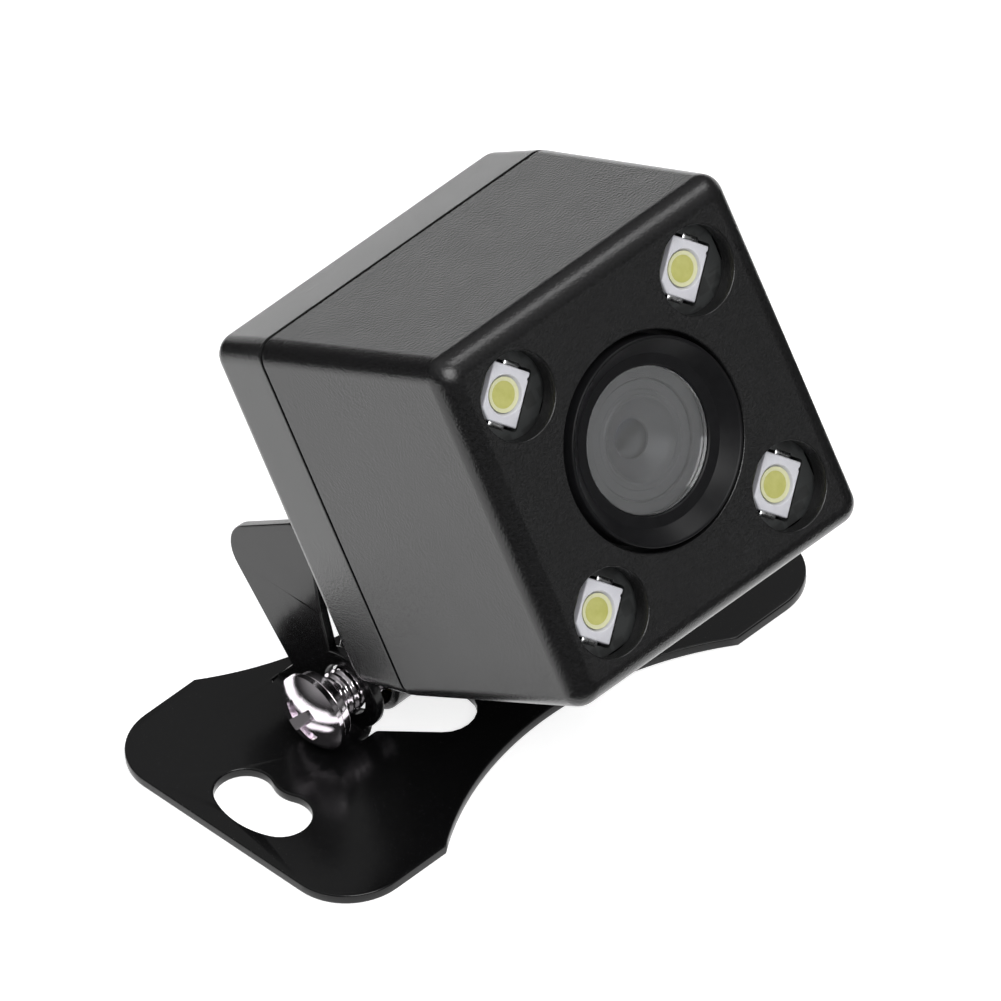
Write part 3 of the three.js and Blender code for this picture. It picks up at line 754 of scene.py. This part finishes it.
def rear_cover():
    """The rear shell, with screw wells, the gland's hole and the lug on its tail."""
    post_radius, hole_radius, well_radius, well_depth = 1.85, 0.95, 1.4, 1.2
    inside = rectangle(WIDTH - 2 * WALL, HEIGHT - 2 * WALL, CAVITY_CORNER)
    front = COVER_FRONT - (SEAM - SEAM_SHOWN) / 2
    body = block(front, COVER_REAR, True)
    body = cut(body, along_y(prism(inside, front - PAST, COVER_REAR - COVER_WALL)))
    inner_posts = [
        moved(plug(post_radius, COVER_FRONT, COVER_REAR - COVER_WALL / 2), x=x, z=z)
        for _, x, z in SCREW_PLACES
    ]
    outline = tail_outline()
    tail = along_x(prism(outline, -LUG_HALF_WIDTH, LUG_HALF_WIDTH, edge=0.25))
    body = add(body, *inner_posts, tail)
    wells = [
        moved(lathe([
            (0, front - PAST), (hole_radius, front - PAST),
            (hole_radius, COVER_REAR - well_depth), (well_radius, COVER_REAR - well_depth),
            (well_radius, COVER_REAR + PAST), (0, COVER_REAR + PAST)], 48), x=x, z=z)
        for _, x, z in SCREW_PLACES
    ]
    gland_hole = plug(
        GLAND_NECK_RADIUS + CLEARANCE, COVER_REAR - 2 * COVER_WALL, COVER_REAR + PAST)
    bore_start = 2
    bores = [
        toward_side(plug(INSERT_BORE_RADIUS, bore_start, LUG_HALF_WIDTH + PAST), sign)
        for _, sign in SIDES
    ]
    body = cut(body, *wells, moved(gland_hole, z=local_middle("cable_gland").z), *bores)
    piece("rear_shell", body, "black_plastic", ["rear_cover"])


def housing_seal():
    """The gasket that shows as a dark line in the seam."""
    edge, width = 0.6, 1.25
    across, upright = WIDTH + 2 * SWELL - 2 * edge, HEIGHT + 2 * SWELL - 2 * edge
    outer = rectangle(across, upright, 0.9)
    hole = rectangle(across - 2 * width, upright - 2 * width, 0.8)
    seam_middle = HOUSING_DEPTH + SEAM / 2
    half = SEAM_SHOWN / 2 - 0.005
    body = along_y(prism(outer, seam_middle - half, seam_middle + half, [hole], edge=0.04, steps=2))
    piece("seam_gasket", body, "black_rubber", ["housing_seal"])


def cable_gland():
    """A rubber gland clipped through the rear wall, with ribs that let a cord bend."""
    bore, neck, collar, sleeve = 1.6, GLAND_NECK_RADIUS, 4.1, 2.8
    inside, outside, end = COVER_REAR - COVER_WALL - 0.05, COVER_REAR + 0.05, COVER_REAR + GLAND_REACH
    profile = [(bore, inside - 0.55), (neck + 0.9, inside - 0.55), (neck + 0.9, inside)]
    profile += [(neck, inside), (neck, outside), (collar, outside), (collar, outside + 0.65)]
    profile += [
        (collar - 0.4 + 0.4 * math.cos(k / 6 * math.pi / 2),
         outside + 0.65 + 0.4 * math.sin(k / 6 * math.pi / 2)) for k in range(1, 7)]
    rib_start, ribs = outside + 1.2, 3
    pitch = (end - 0.3 - rib_start) / ribs
    for rib in range(ribs):
        base = rib_start + rib * pitch
        for k in range(9):
            swell = math.sin(k / 8 * math.pi) ** 0.5 if 0 < k < 8 else 0.0
            profile.append((sleeve - 0.35 + 0.3 * swell, base + pitch * k / 9))
    profile += [(sleeve - 0.35, end - 0.2), (sleeve - 0.55, end), (bore + 0.15, end)]
    profile += [(bore, end - 0.15), (bore, inside - 0.55)]
    body = moved(lathe(profile, 72), z=local_middle("cable_gland").z)
    piece("gland", body, "black_rubber", ["cable_gland"])


def cross_cutter(length, width, depth, front):
    """A cross recess whose four wings narrow towards the bottom; it opens towards +Y."""
    wings = []
    for degrees in (0, 90):
        rings = []
        for y, share in ((front - depth, 0.35), (front + PAST, 1 + 0.65 * PAST / depth)):
            half_length, half_width = length / 2 * share, width / 2 * (0.5 + share / 2)
            rings.append([
                (sx * half_length, y, sz * half_width)
                for sx, sz in ((-1, -1), (1, -1), (1, 1), (-1, 1))])
        wings.append(turned(skinned(rings), degrees))
    return wings


def cover_screws():
    """Small pan head screws in the wells of the rear cover."""
    shank, head, height = 0.62, 1.15, 0.85
    low, high = local_box("cover_screw_upper_left")
    seat = high.y - height
    for place, x, z in SCREW_PLACES:
        profile = [(0, low.y), (shank - 0.27, low.y), (shank, low.y + 0.8), (shank, seat)]
        profile += [(head - 0.05, seat), (head, seat + 0.06), (head, seat + 0.45)]
        profile += [
            (head - 0.3 + 0.3 * math.cos(k / 5 * math.pi / 2),
             seat + 0.5 + 0.35 * math.sin(k / 5 * math.pi / 2)) for k in range(1, 6)]
        profile.append((0, seat + height))
        body = cut(lathe(profile, 40), *cross_cutter(1.3, 0.32, 0.45, seat + height))
        body = moved(turned(body, 17 * x), x=x, z=z)
        piece(f"rear_screw_{place}", body, "chrome", [f"cover_screw_{place}"])


# ---------------------------------------------------------------- bracket


BASE_WIDTH = 21.9
SHEET = 0.7
EAR_FACE = 8.85
BEND = 0.5
# The front and rear end of the fold that joins an ear to the plate.
ROOT = (-0.25, 7.15)
EDGE = 0.13


def base_outline():
    """A plate with four round corners and a shallow waist along each long side."""
    low, high = local_box("base_bracket", GROUND)
    lobe, reach, depth = 4.1, 12.4, 4.0
    half_x, half_y = (high.x - low.x) / 2, BASE_WIDTH / 2
    x, y = half_x - lobe, half_y - lobe
    radius = (reach ** 2 + depth ** 2) / (2 * depth)
    centre = half_y - depth + radius
    spread = math.asin(reach / radius)
    square = math.pi / 2
    points = []
    for side in (1, -1):
        turn = 0 if side > 0 else math.pi
        points += arc((side * x, -side * y), lobe, turn - square, turn, 16)
        points += arc((side * x, side * y), lobe, turn, turn + square, 16)
        points += arc(
            (0, side * centre), radius, turn - square + spread, turn - square - spread, 40)
    return points


def kidney_slot(side):
    """A bowed slot for a fixing screw, with round ends."""
    mean, half_width, half_angle = 4.0, 1.85, math.radians(24.4)
    reach = 17.55
    centre = (side * (reach - mean), 0)
    facing = 0 if side > 0 else math.pi
    first, last = facing - half_angle, facing + half_angle

    def cap(angle, start, end):
        at = (centre[0] + mean * math.cos(angle), mean * math.sin(angle))
        return arc(at, half_width, start, end, 16)[1:-1]

    return [
        *arc(centre, mean + half_width, first, last, 16),
        *cap(last, last, last + math.pi),
        *arc(centre, mean - half_width, last, first, 10),
        *cap(first, first + math.pi, first + TURN),
    ]


def ear_window(side):
    """The window that an ear is folded up out of."""
    relief = 0.25
    fold = EAR_FACE + BEND
    corners = [
        (fold, ROOT[1] + relief, 0.2),
        (fold - 1.7, ROOT[1] + relief, 0.4),
        (fold - 2.8, 6.1, 0.6),
        (1.8, 5.4, 0.8),
        (2.25, -7.36, 1.95),
        (fold - 1.25, ROOT[0] - relief, 0.4),
        (fold, ROOT[0] - relief, 0.2),
    ]
    return rounded([(side * x, y, radius) for x, y, radius in corners])


def merged(outlines):
    """The outline round several overlapping outlines."""
    plates = [prism(outline, 0.0, 1.0) for outline in outlines]
    bm = bmesh.new()
    bm.from_mesh(add(*plates))
    bmesh.ops.remove_doubles(bm, verts=bm.verts, dist=1e-4)
    bmesh.ops.dissolve_limit(bm, angle_limit=math.radians(1), verts=bm.verts, edges=bm.edges)
    top = max((f for f in bm.faces if f.normal.z > 0.9), key=lambda f: f.calc_area())
    outline = [Vector((v.co.x, v.co.y)) for v in top.verts]
    bm.free()
    return outline


def ear(side):
    """One upright ear with the arm that leans back behind the camera."""
    pivot, lobe_radius = GROUND_PIVOT, 2.75
    top = SHEET + BEND
    foot = top - 0.15
    faces = sorted((side * (EAR_FACE - SHEET), side * EAR_FACE))
    lobe = circle((pivot.y, pivot.z), lobe_radius, 64)
    root = rounded([
        (ROOT[0], foot, 0), (ROOT[1], foot, 0), (5.5, 3.1, 0),
        (pivot.y + 1.1, pivot.z + 2.5, 0), (pivot.y, pivot.z, 0)])
    arm = rounded([
        (2.1, top, 0), (4.9, top, 0), (11.75, 10.3, 2.4), (3.6, 15.75, 1.2),
        (2.95, 8.6, 3), (2.3, 5.5, 0)], 12)
    return along_x(prism(merged((lobe, root, arm)), *faces, edge=EDGE))


def fold(side):
    """The quarter bend that carries the sheet from the base plate up into an ear."""
    centre = (side * (EAR_FACE + BEND), SHEET + BEND)
    down, inward = -math.pi / 2, (-math.pi if side > 0 else 0)
    outline = [
        Vector((centre[0] + side * 0.4, 0.0)),
        *arc(centre, BEND + SHEET, down, inward, 12),
        *arc(centre, BEND, inward, down, 12),
        Vector((centre[0] + side * 0.4, SHEET)),
    ]
    return along_y(prism(outline, *ROOT))


def base_bracket():
    """One sheet: the plate and the two ears folded up from it."""
    holes = [kidney_slot(-1), kidney_slot(1), ear_window(-1), ear_window(1)]
    body = prism(base_outline(), 0, SHEET, holes, edge=EDGE)
    for side in (-1, 1):
        body = add(body, fold(side), ear(side))
    hole = circle((GROUND_PIVOT.y, GROUND_PIVOT.z), SHANK_RADIUS + CLEARANCE, 48)
    half_length = 12
    body = cut(body, along_x(prism(hole, -half_length, half_length)))
    piece(
        "bracket_sheet", body, "black_steel", ["base_bracket"], place=GROUND, body="bracket")


# ---------------------------------------------------------------- optics


def quarter(radius, y, reach, rise, steps=6):
    """Points along a quarter ellipse from (radius, y + rise) in to (radius - reach, y)."""
    return [
        (radius - reach * (1 - math.cos(k / steps * math.pi / 2)),
         y + rise * (1 - math.sin(k / steps * math.pi / 2)))
        for k in range(steps + 1)
    ]


def cap_arc(rim, pole, sag, steps=16):
    """Points over a spherical cap, from the axis out to the rim."""
    sphere = (rim ** 2 + sag ** 2) / (2 * abs(sag))
    points = []
    for k in range(steps + 1):
        radius = rim * k / steps
        depth = sphere - math.sqrt(sphere ** 2 - radius ** 2)
        points.append((radius, pole + math.copysign(depth, sag)))
    return points


def lens_bezel():
    """A ring proud of the face, whose funnel runs in to a flat ledge round the window."""
    front, back, rim, flange = BEZEL_LOW.y, BEZEL_HIGH.y, BEZEL_RADIUS, BEZEL_HIGH.x
    flange_front, flange_back = FRONT_WALL + CLEARANCE, FRONT_WALL + CLEARANCE + 0.7
    glass, ledge = GLASS_HIGH.x, GLASS_HIGH.y + 0.45
    bore, skirt = BARREL_HIGH.x + CLEARANCE, rim - 0.7
    funnel_end, lip = 5.35, GLASS_LOW.y - 0.22
    profile = [
        *quarter(rim, front, 0.11, 0.13)[::-1],
        (rim, flange_front), (flange, flange_front), (flange, flange_back),
        (skirt, flange_back), (skirt, back), (bore, back), (bore, ledge),
        (glass + 0.04, ledge), (glass + 0.04, lip + 0.16), (glass + 0.12, lip + 0.1),
        (funnel_end - 0.06, lip + 0.02), (funnel_end, lip - 0.03),
        (rim - 0.24, front + 0.08), (rim - 0.18, front + 0.02), (rim - 0.11, front),
    ]
    piece("bezel_ring", lathe(profile, 160), "gloss_black_plastic", ["lens_bezel"], smooth=30)


def cover_glass():
    """The flat round window, its edges just broken."""
    radius, front, back, bevel = GLASS_HIGH.x, GLASS_LOW.y, GLASS_HIGH.y, 0.03
    profile = [
        (0, front), (radius - bevel, front), (radius, front + bevel),
        (radius, back - bevel), (radius - bevel, back), (0, back)]
    piece("window", lathe(profile, 128), "optical_glass", ["cover_glass"], WINDOW, smooth=20)


def window_seal():
    """The flat gasket behind the window."""
    low, high = local_box("window_seal")
    inner, outer, roll = BARREL_HIGH.x + CLEARANCE + 0.02, high.x, 0.06
    profile = [
        (inner, low.y + roll), (inner + roll, low.y), (outer - roll, low.y),
        (outer, low.y + roll), (outer, high.y - roll), (outer - roll, high.y),
        (inner + roll, high.y), (inner, high.y - roll), (inner, low.y + roll)]
    piece("window_gasket", lathe(profile, 96), "black_rubber", ["window_seal"], GASKET)


def lens_barrel():
    """The barrel's face has a fine turned ring, and funnels in to a small stop."""
    mouth, stop, bore = 2.6, 1.25, 2.2
    front, rear, outer = BARREL_LOW.y, BARREL_HIGH.y, BARREL_HIGH.x
    lip = outer + CLEARANCE - 0.03
    funnel_depth, funnel_steps = 0.9, 12
    funnel = []
    for k in range(funnel_steps + 1):
        share = k / funnel_steps
        radius = mouth - 0.1 + (stop + 0.1 - mouth + 0.1) * share
        funnel.append((radius, front + 0.1 + (funnel_depth - 0.1) * share ** 0.8))
    stop_front = front + funnel_depth
    profile = [
        (mouth, front), (mouth + 0.12, front), (mouth + 0.2, front + 0.05),
        (mouth + 0.42, front + 0.05), (mouth + 0.48, front), (lip - 0.05, front),
        (lip, front + 0.05), (lip, front + 0.3), (outer, front + 0.3), (outer, rear),
        (bore, rear), (bore, stop_front + 0.2),
        (stop, stop_front + 0.2), (stop, stop_front + 0.06), *funnel[::-1], (mouth, front)]
    piece(
        "barrel", lathe(profile, 128), "gloss_black_plastic", ["lens_barrel"], BARREL, smooth=25)


def lens_element(node_name, rim, sag):
    """A polished element: a spherical front, a flatter back and a ground edge."""
    low, high = local_box(node_name)
    front_pole, back_pole = low.y, high.y
    front = cap_arc(rim, front_pole, sag)
    back = cap_arc(rim, back_pole, -sag / 2)
    bevel = 0.06
    profile = [*front[:-1], (rim - bevel, front[-1][1] - 0.01), (rim, front[-1][1] + bevel)]
    profile += [(rim, back[-1][1] - bevel), (rim - bevel, back[-1][1]), *back[:-1][::-1]]
    piece(f"polished_{node_name}", lathe(profile, 96), "optical_glass", [node_name], smooth=25)


# ---------------------------------------------------------------- lights in the corners


def led_package(place, x, z):
    """A moulded package with rounded rims, one chamfered corner and a conical cup."""
    half_long, half_short, chamfer = LED_LENGTH / 2, LED_WIDTH / 2, 0.6
    soft = 0.1
    outline = rounded([
        (-half_long, -half_short, soft), (half_long, -half_short, soft),
        (half_long, half_short, soft), (chamfer - half_long, half_short, soft),
        (-half_long, half_short - chamfer, soft)], 3)
    body = along_y(prism(outline, LED_FRONT, LED_FRONT + LED_HEIGHT, edge=0.1, steps=3))
    rim, floor_radius, depth = 1.22, 1.08, 0.45
    cup = lathe([
        (0, LED_FRONT - PAST), (rim + 0.1, LED_FRONT - PAST), (rim + 0.1, LED_FRONT - 0.01),
        (rim + 0.03, LED_FRONT + 0.03), (rim, LED_FRONT + 0.08),
        (floor_radius, LED_FRONT + depth), (0, LED_FRONT + depth)], 64)
    key = moved(plug(0.13, LED_FRONT - PAST, LED_FRONT + 0.2, 24), x=half_long - 0.42, z=-half_short)
    body = turned(cut(body, cup, key), LED_TURN)
    piece(
        f"light_package_{place}", moved(body, x=x, z=z), "led_body", [f"led_{place}"], smooth=40)


def solder_lump(half_width, half_length, height, seed):
    """A flattened, slightly uneven pool of solder with its top towards -Y."""
    rows, columns = 12, 20
    bm = bmesh.new()
    spot = Vector((seed * 3.7, seed * 1.3, 0.0))
    grids = []
    for side in (1, -1):
        grid = []
        for i in range(rows + 1):
            row = []
            for j in range(columns + 1):
                u, v = 2 * i / rows - 1, 2 * j / columns - 1
                bulge = (1 - abs(u) ** 2.4) * (1 - abs(v) ** 4)
                uneven = 1 + 0.35 * noise_at(Vector((u, v, 0)) * 1.6 + spot)
                lift = height * bulge * uneven if side > 0 else -0.02 * bulge
                row.append(bm.verts.new((u * half_width, -lift, v * half_length)))
            grid.append(row)
        grids.append(grid)
    for side, grid in zip((1, -1), grids):
        for i in range(rows):
            for j in range(columns):
                bm.faces.new((grid[i][j], grid[i + 1][j], grid[i + 1][j + 1], grid[i][j + 1]))
    return closed(bm)


def solder_joints(place, x, z, seed):
    """Two solder joints at the short ends of a package, on the front of the board."""
    front = BOARD_LOW.y - 0.05
    for end in (1, -1):
        lump = solder_lump(0.2, 0.6, 0.1, seed + end)
        lump = moved(lump, x=end * (LED_LENGTH / 2 + 0.12), y=front)
        piece(
            f"solder_{place}_{'outer' if end > 0 else 'inner'}",
            moved(turned(lump, LED_TURN), x=x, z=z), "chrome", look=SOLDER, smooth=60)


def phosphor(place, x, z):
    """The gel dips a little from the wall of the cup, and thins to a paler rim."""
    low, high = local_box(f"phosphor_{place}")
    radius, front, back = (high.x - low.x) / 2 + 0.1, low.y, high.y
    rim_width = 0.26
    core = radius - rim_width
    profile = [(0, front + 0.03), (core * 0.6, front + 0.02), (core, front), (core, back), (0, back)]
    piece(
        f"gel_{place}", moved(lathe(profile, 64), x=x, z=z), "phosphor", [f"phosphor_{place}"])
    rim = [
        (core + 0.005, front), (radius - 0.06, front - 0.04), (radius - 0.01, front - 0.06),
        (radius - 0.01, front), (radius - 0.06, back), (core + 0.005, back), (core + 0.005, front)]
    piece(
        f"gel_rim_{place}", moved(lathe(rim, 64), x=x, z=z), "phosphor", look=GEL_RIM)


def led_board():
    """The board behind the corner holes, cut out round the lights and the bezel."""
    low, high = BOARD_LOW, BOARD_HIGH
    gap = 0.2
    seats = []
    for _, x, z in LED_PLACES:
        seat = along_y(prism(
            rectangle(LED_LENGTH + 2 * gap, LED_WIDTH + 2 * gap, 0.25), low.y - PAST, high.y + PAST))
        seats.append(moved(turned(seat, LED_TURN), x=x, z=z))
    outline = rectangle(high.x - low.x, high.z - low.z, 0.6)
    hole = circle((0, 0), BEZEL_HIGH.x + CLEARANCE, 128)
    body = along_y(prism(outline, low.y, high.y, [hole], edge=0.05, steps=2))
    piece("light_board", cut(body, *seats), "black_board", ["led_board"])


# ---------------------------------------------------------------- pivot hardware
# Drawn along +Y from the middle of the lug outwards, then turned to each side.


def toward_side(mesh, sign):
    """Turns a part drawn along +Y out to the left or right of the pivot."""
    return moved(turned(mesh, -90 * sign, "Z"), y=PIVOT.y, z=PIVOT.z)


def threaded_bar(stations, pitch=0.5, depth=0.16, segments=72):
    """A turned bar of (radius, y, share) stations; share says how deep the thread is cut."""
    rings = []
    for radius, y, share in stations:
        ring = []
        for k in range(segments):
            phase = (y / pitch - k / segments) % 1.0
            groove = depth * share * min(1.0, abs(2 * phase - 1) * 1.35)
            angle = TURN * k / segments
            ring.append(
                ((radius - groove) * math.cos(angle), y, (radius - groove) * math.sin(angle)))
        rings.append(ring)
    return skinned(rings)


def pivot_screw(side, sign):
    """A pan head machine screw: a threaded shank, a rounded head and a cross recess."""
    seat, radius, rise = SCREW_SEAT, SCREW_HEAD_RADIUS, HEAD_HEIGHT
    tip, step = SCREW_LOW.x, 0.05
    stations = [(SHANK_RADIUS - 0.4, tip, 0.0)]
    rows = int((seat - 0.25 - tip - 0.4) / step)
    for k in range(rows):
        y = tip + 0.4 + k * step
        stations.append((SHANK_RADIUS, y, min(1.0, k / 6)))
    stations.append((SHANK_RADIUS, seat - 0.2, 0.0))
    stations.append((SHANK_RADIUS + 0.02, seat, 0.0))
    edge, flank = 0.14, 0.42
    for k in range(7):
        angle = k / 6 * math.pi / 2
        radial = radius - edge + edge * math.sin(angle)
        stations.append((radial, seat + edge * (1 - math.cos(angle)), 0.0))
    dome = cap_arc(radius, seat + rise, flank - rise, 24)
    stations += [(r, y, 0.0) for r, y in dome[:0:-1]]
    stations.append((0.02, seat + rise, 0.0))
    body = threaded_bar(stations)
    recess = [turned(wing, 20) for wing in cross_cutter(3.3, 0.8, 1.1, seat + rise)]
    body = cut(body, *recess)
    piece(f"screw_{side}", toward_side(body, sign), "chrome", [f"pivot_screw_{side}"], smooth=32)


def split_washer(side, sign):
    """A square-section ring, cut through and sprung a little along its axis."""
    inner, outer, thickness, spring = 1.7, 2.3, 0.62, 0.16
    middle_y = SCREW_SEAT - 0.45
    steps, gap = 96, math.radians(16)
    corner = 0.07
    section = rectangle(outer - inner, thickness, corner, 3)
    rings = []
    for k in range(steps + 1):
        share = k / steps
        angle = math.radians(250) + gap / 2 + (TURN - gap) * share
        radial = Vector((math.cos(angle), 0, math.sin(angle)))
        centre = radial * (inner + outer) / 2 + Vector((0, middle_y + spring * (share - 0.5), 0))
        rings.append([centre + radial * p.x + Vector((0, p.y, 0)) for p in section])
    body = toward_side(skinned(rings), sign)
    piece(f"lock_washer_{side}", body, "chrome", [f"spring_washer_{side}"])


# ---------------------------------------------------------------- building


def dress_nodes():
    """Gives every CAD node that stays as it is the look of its material slot."""
    for row in frame["record"]["subparts"]:
        thing = frame["nodes"][row["node"]]
        for entry in thing.material_slots:
            entry.link = "OBJECT"
            entry.material = LOOKS[row["material_slot"]]


dress_nodes()
front_housing()
rear_cover()
housing_seal()
cable_gland()
cover_screws()
base_bracket()
lens_bezel()
cover_glass()
window_seal()
lens_barrel()
lens_element("front_lens", 1.9, 0.45)
lens_element("rear_lens", 1.9, 0.6)
led_board()
for index, (corner_name, led_x, led_z) in enumerate(LED_PLACES):
    led_package(corner_name, led_x, led_z)
    solder_joints(corner_name, led_x, led_z, index * 5.0)
    phosphor(corner_name, led_x, led_z)
for side_name, side_sign in SIDES:
    pivot_screw(side_name, side_sign)
    split_washer(side_name, side_sign)


# ---------------------------------------------------------------- studio


def stage_sheet(name, bm, look):
    """Puts a flat mesh into the studio, outside the object."""
    mesh = bpy.data.meshes.new(name)
    bm.to_mesh(mesh)
    bm.free()
    mesh.materials.append(look)
    made = bpy.data.objects.new(name, mesh)
    bpy.context.scene.collection.objects.link(made)
    return made


def floor():
    """White paper that glows a little, a hair below the bracket."""
    look = new_look("studio_floor")
    paper = noise(look, millimetres(look), 0.02, 2.0)
    shade(
        look,
        Base_Color=tint(look, paper, (0.80, 0.80, 0.80), (0.82, 0.82, 0.82)),
        Roughness=0.9,
        Emission_Color=(1, 1, 1, 1),
        Emission_Strength=0.75,
    )
    half_size, drop = 12, 0.02 * MM
    bm = bmesh.new()
    bmesh.ops.create_grid(bm, x_segments=4, y_segments=4, size=half_size)
    stage_sheet("floor", bm, look).location.z = -drop


def softbox(name, direction, size, strength):
    """A soft lamp that shines on the origin from a direction."""
    distance = 0.8
    lamp = bpy.data.lights.new(name, "AREA")
    lamp.shape = "RECTANGLE"
    lamp.size, lamp.size_y = size
    lamp.energy = strength
    made = bpy.data.objects.new(name, lamp)
    bpy.context.scene.collection.objects.link(made)
    toward = Vector(direction).normalized()
    made.location = toward * distance
    made.rotation_mode = "QUATERNION"
    made.rotation_quaternion = toward.to_track_quat("Z", "Y")
    made.visible_camera = False


def flag(name, facing, half_angle, near):
    """A dark fan on the floor that only reflections see: it keeps the pale floor out of them."""
    look = new_look(name)
    shade(look, Base_Color=(0.01, 0.01, 0.01, 1), Roughness=1.0)
    far, lift, steps = 2.5, 0.5 * MM, 16
    start, end = math.radians(facing - half_angle), math.radians(facing + half_angle)
    bm = bmesh.new()
    rings = [
        [bm.verts.new((*point, lift)) for point in arc((0, 0), radius, start, end, steps)]
        for radius in (near, far)
    ]
    for k in range(steps):
        bm.faces.new((rings[0][k], rings[0][k + 1], rings[1][k + 1], rings[1][k]))
    made = stage_sheet(name, bm, look)
    made.visible_camera = False
    made.visible_diffuse = False
    made.visible_shadow = False
    made.visible_transmission = False


def world():
    """A sky that is dark near the horizon and pale overhead, and plainly pale to the camera."""
    made = bpy.data.worlds.new("studio")
    made.use_nodes = True
    bpy.context.scene.world = made
    tree = made.node_tree
    background = tree.nodes["Background"]
    place = tree.nodes.new("ShaderNodeTexCoord").outputs["Generated"]
    height = tree.nodes.new("ShaderNodeSeparateXYZ")
    tree.links.new(place, height.inputs[0])
    ramp = tree.nodes.new("ShaderNodeValToRGB")
    tree.links.new(height.outputs["Z"], ramp.inputs["Fac"])
    stops = ramp.color_ramp.elements
    stops[0].position, stops[0].color = 0.12, (0.02, 0.02, 0.02, 1)
    stops[1].position, stops[1].color = 1.0, (0.7, 0.7, 0.7, 1)
    middle_stop = stops.new(0.6)
    middle_stop.color = (0.3, 0.3, 0.3, 1)
    pale = tree.nodes.new("ShaderNodeBackground")
    pale.inputs["Color"].default_value = (0.85, 0.85, 0.85, 1)
    seen = tree.nodes.new("ShaderNodeLightPath").outputs["Is Camera Ray"]
    mix = tree.nodes.new("ShaderNodeMixShader")
    tree.links.new(ramp.outputs["Color"], background.inputs["Color"])
    tree.links.new(seen, mix.inputs["Fac"])
    tree.links.new(background.outputs[0], mix.inputs[1])
    tree.links.new(pale.outputs[0], mix.inputs[2])
    tree.links.new(mix.outputs[0], tree.nodes["World Output"].inputs["Surface"])


def camera():
    """The camera stands far off, so that the view is almost without perspective."""
    azimuth, elevation, roll = (math.radians(a) for a in (-41.44, 42.69, -4.35))
    distance, frame_width, pixels_per_metre = 2.0, 1001, 16.477 / MM
    back = Vector((
        math.sin(azimuth) * math.cos(elevation),
        -math.cos(azimuth) * math.cos(elevation),
        math.sin(elevation)))
    right = Vector((math.cos(azimuth), math.sin(azimuth), 0))
    up = back.cross(right)
    level = right * math.cos(roll) + up * math.sin(roll)
    upright = -right * math.sin(roll) + up * math.cos(roll)
    target = level * 2.06 * MM + upright * 10.08 * MM
    lens = bpy.data.cameras.new("camera")
    lens.sensor_width = 36
    lens.lens = pixels_per_metre * distance * lens.sensor_width / frame_width
    lens.clip_start, lens.clip_end = 0.1, 100
    made = bpy.data.objects.new("camera", lens)
    bpy.context.scene.collection.objects.link(made)
    turn = Matrix((level, upright, back)).transposed()
    made.matrix_world = Matrix.Translation(target + back * distance) @ turn.to_4x4()
    bpy.context.scene.camera = made


floor()
flag("front_flag", 280, 80, 0.045)
flag("rear_flag", 115, 30, 0.09)
world()
softbox("key", (-0.25, -0.55, 0.8), (0.5, 0.5), 4.2)
softbox("overhead", (0.4865, -0.014, 0.874), (0.28, 0.4), 1.1)
softbox("front_card", (0.4865, -0.871, 0.062), (0.2, 0.12), 0.06)
camera()
bpy.context.scene.view_settings.view_transform = "Standard"
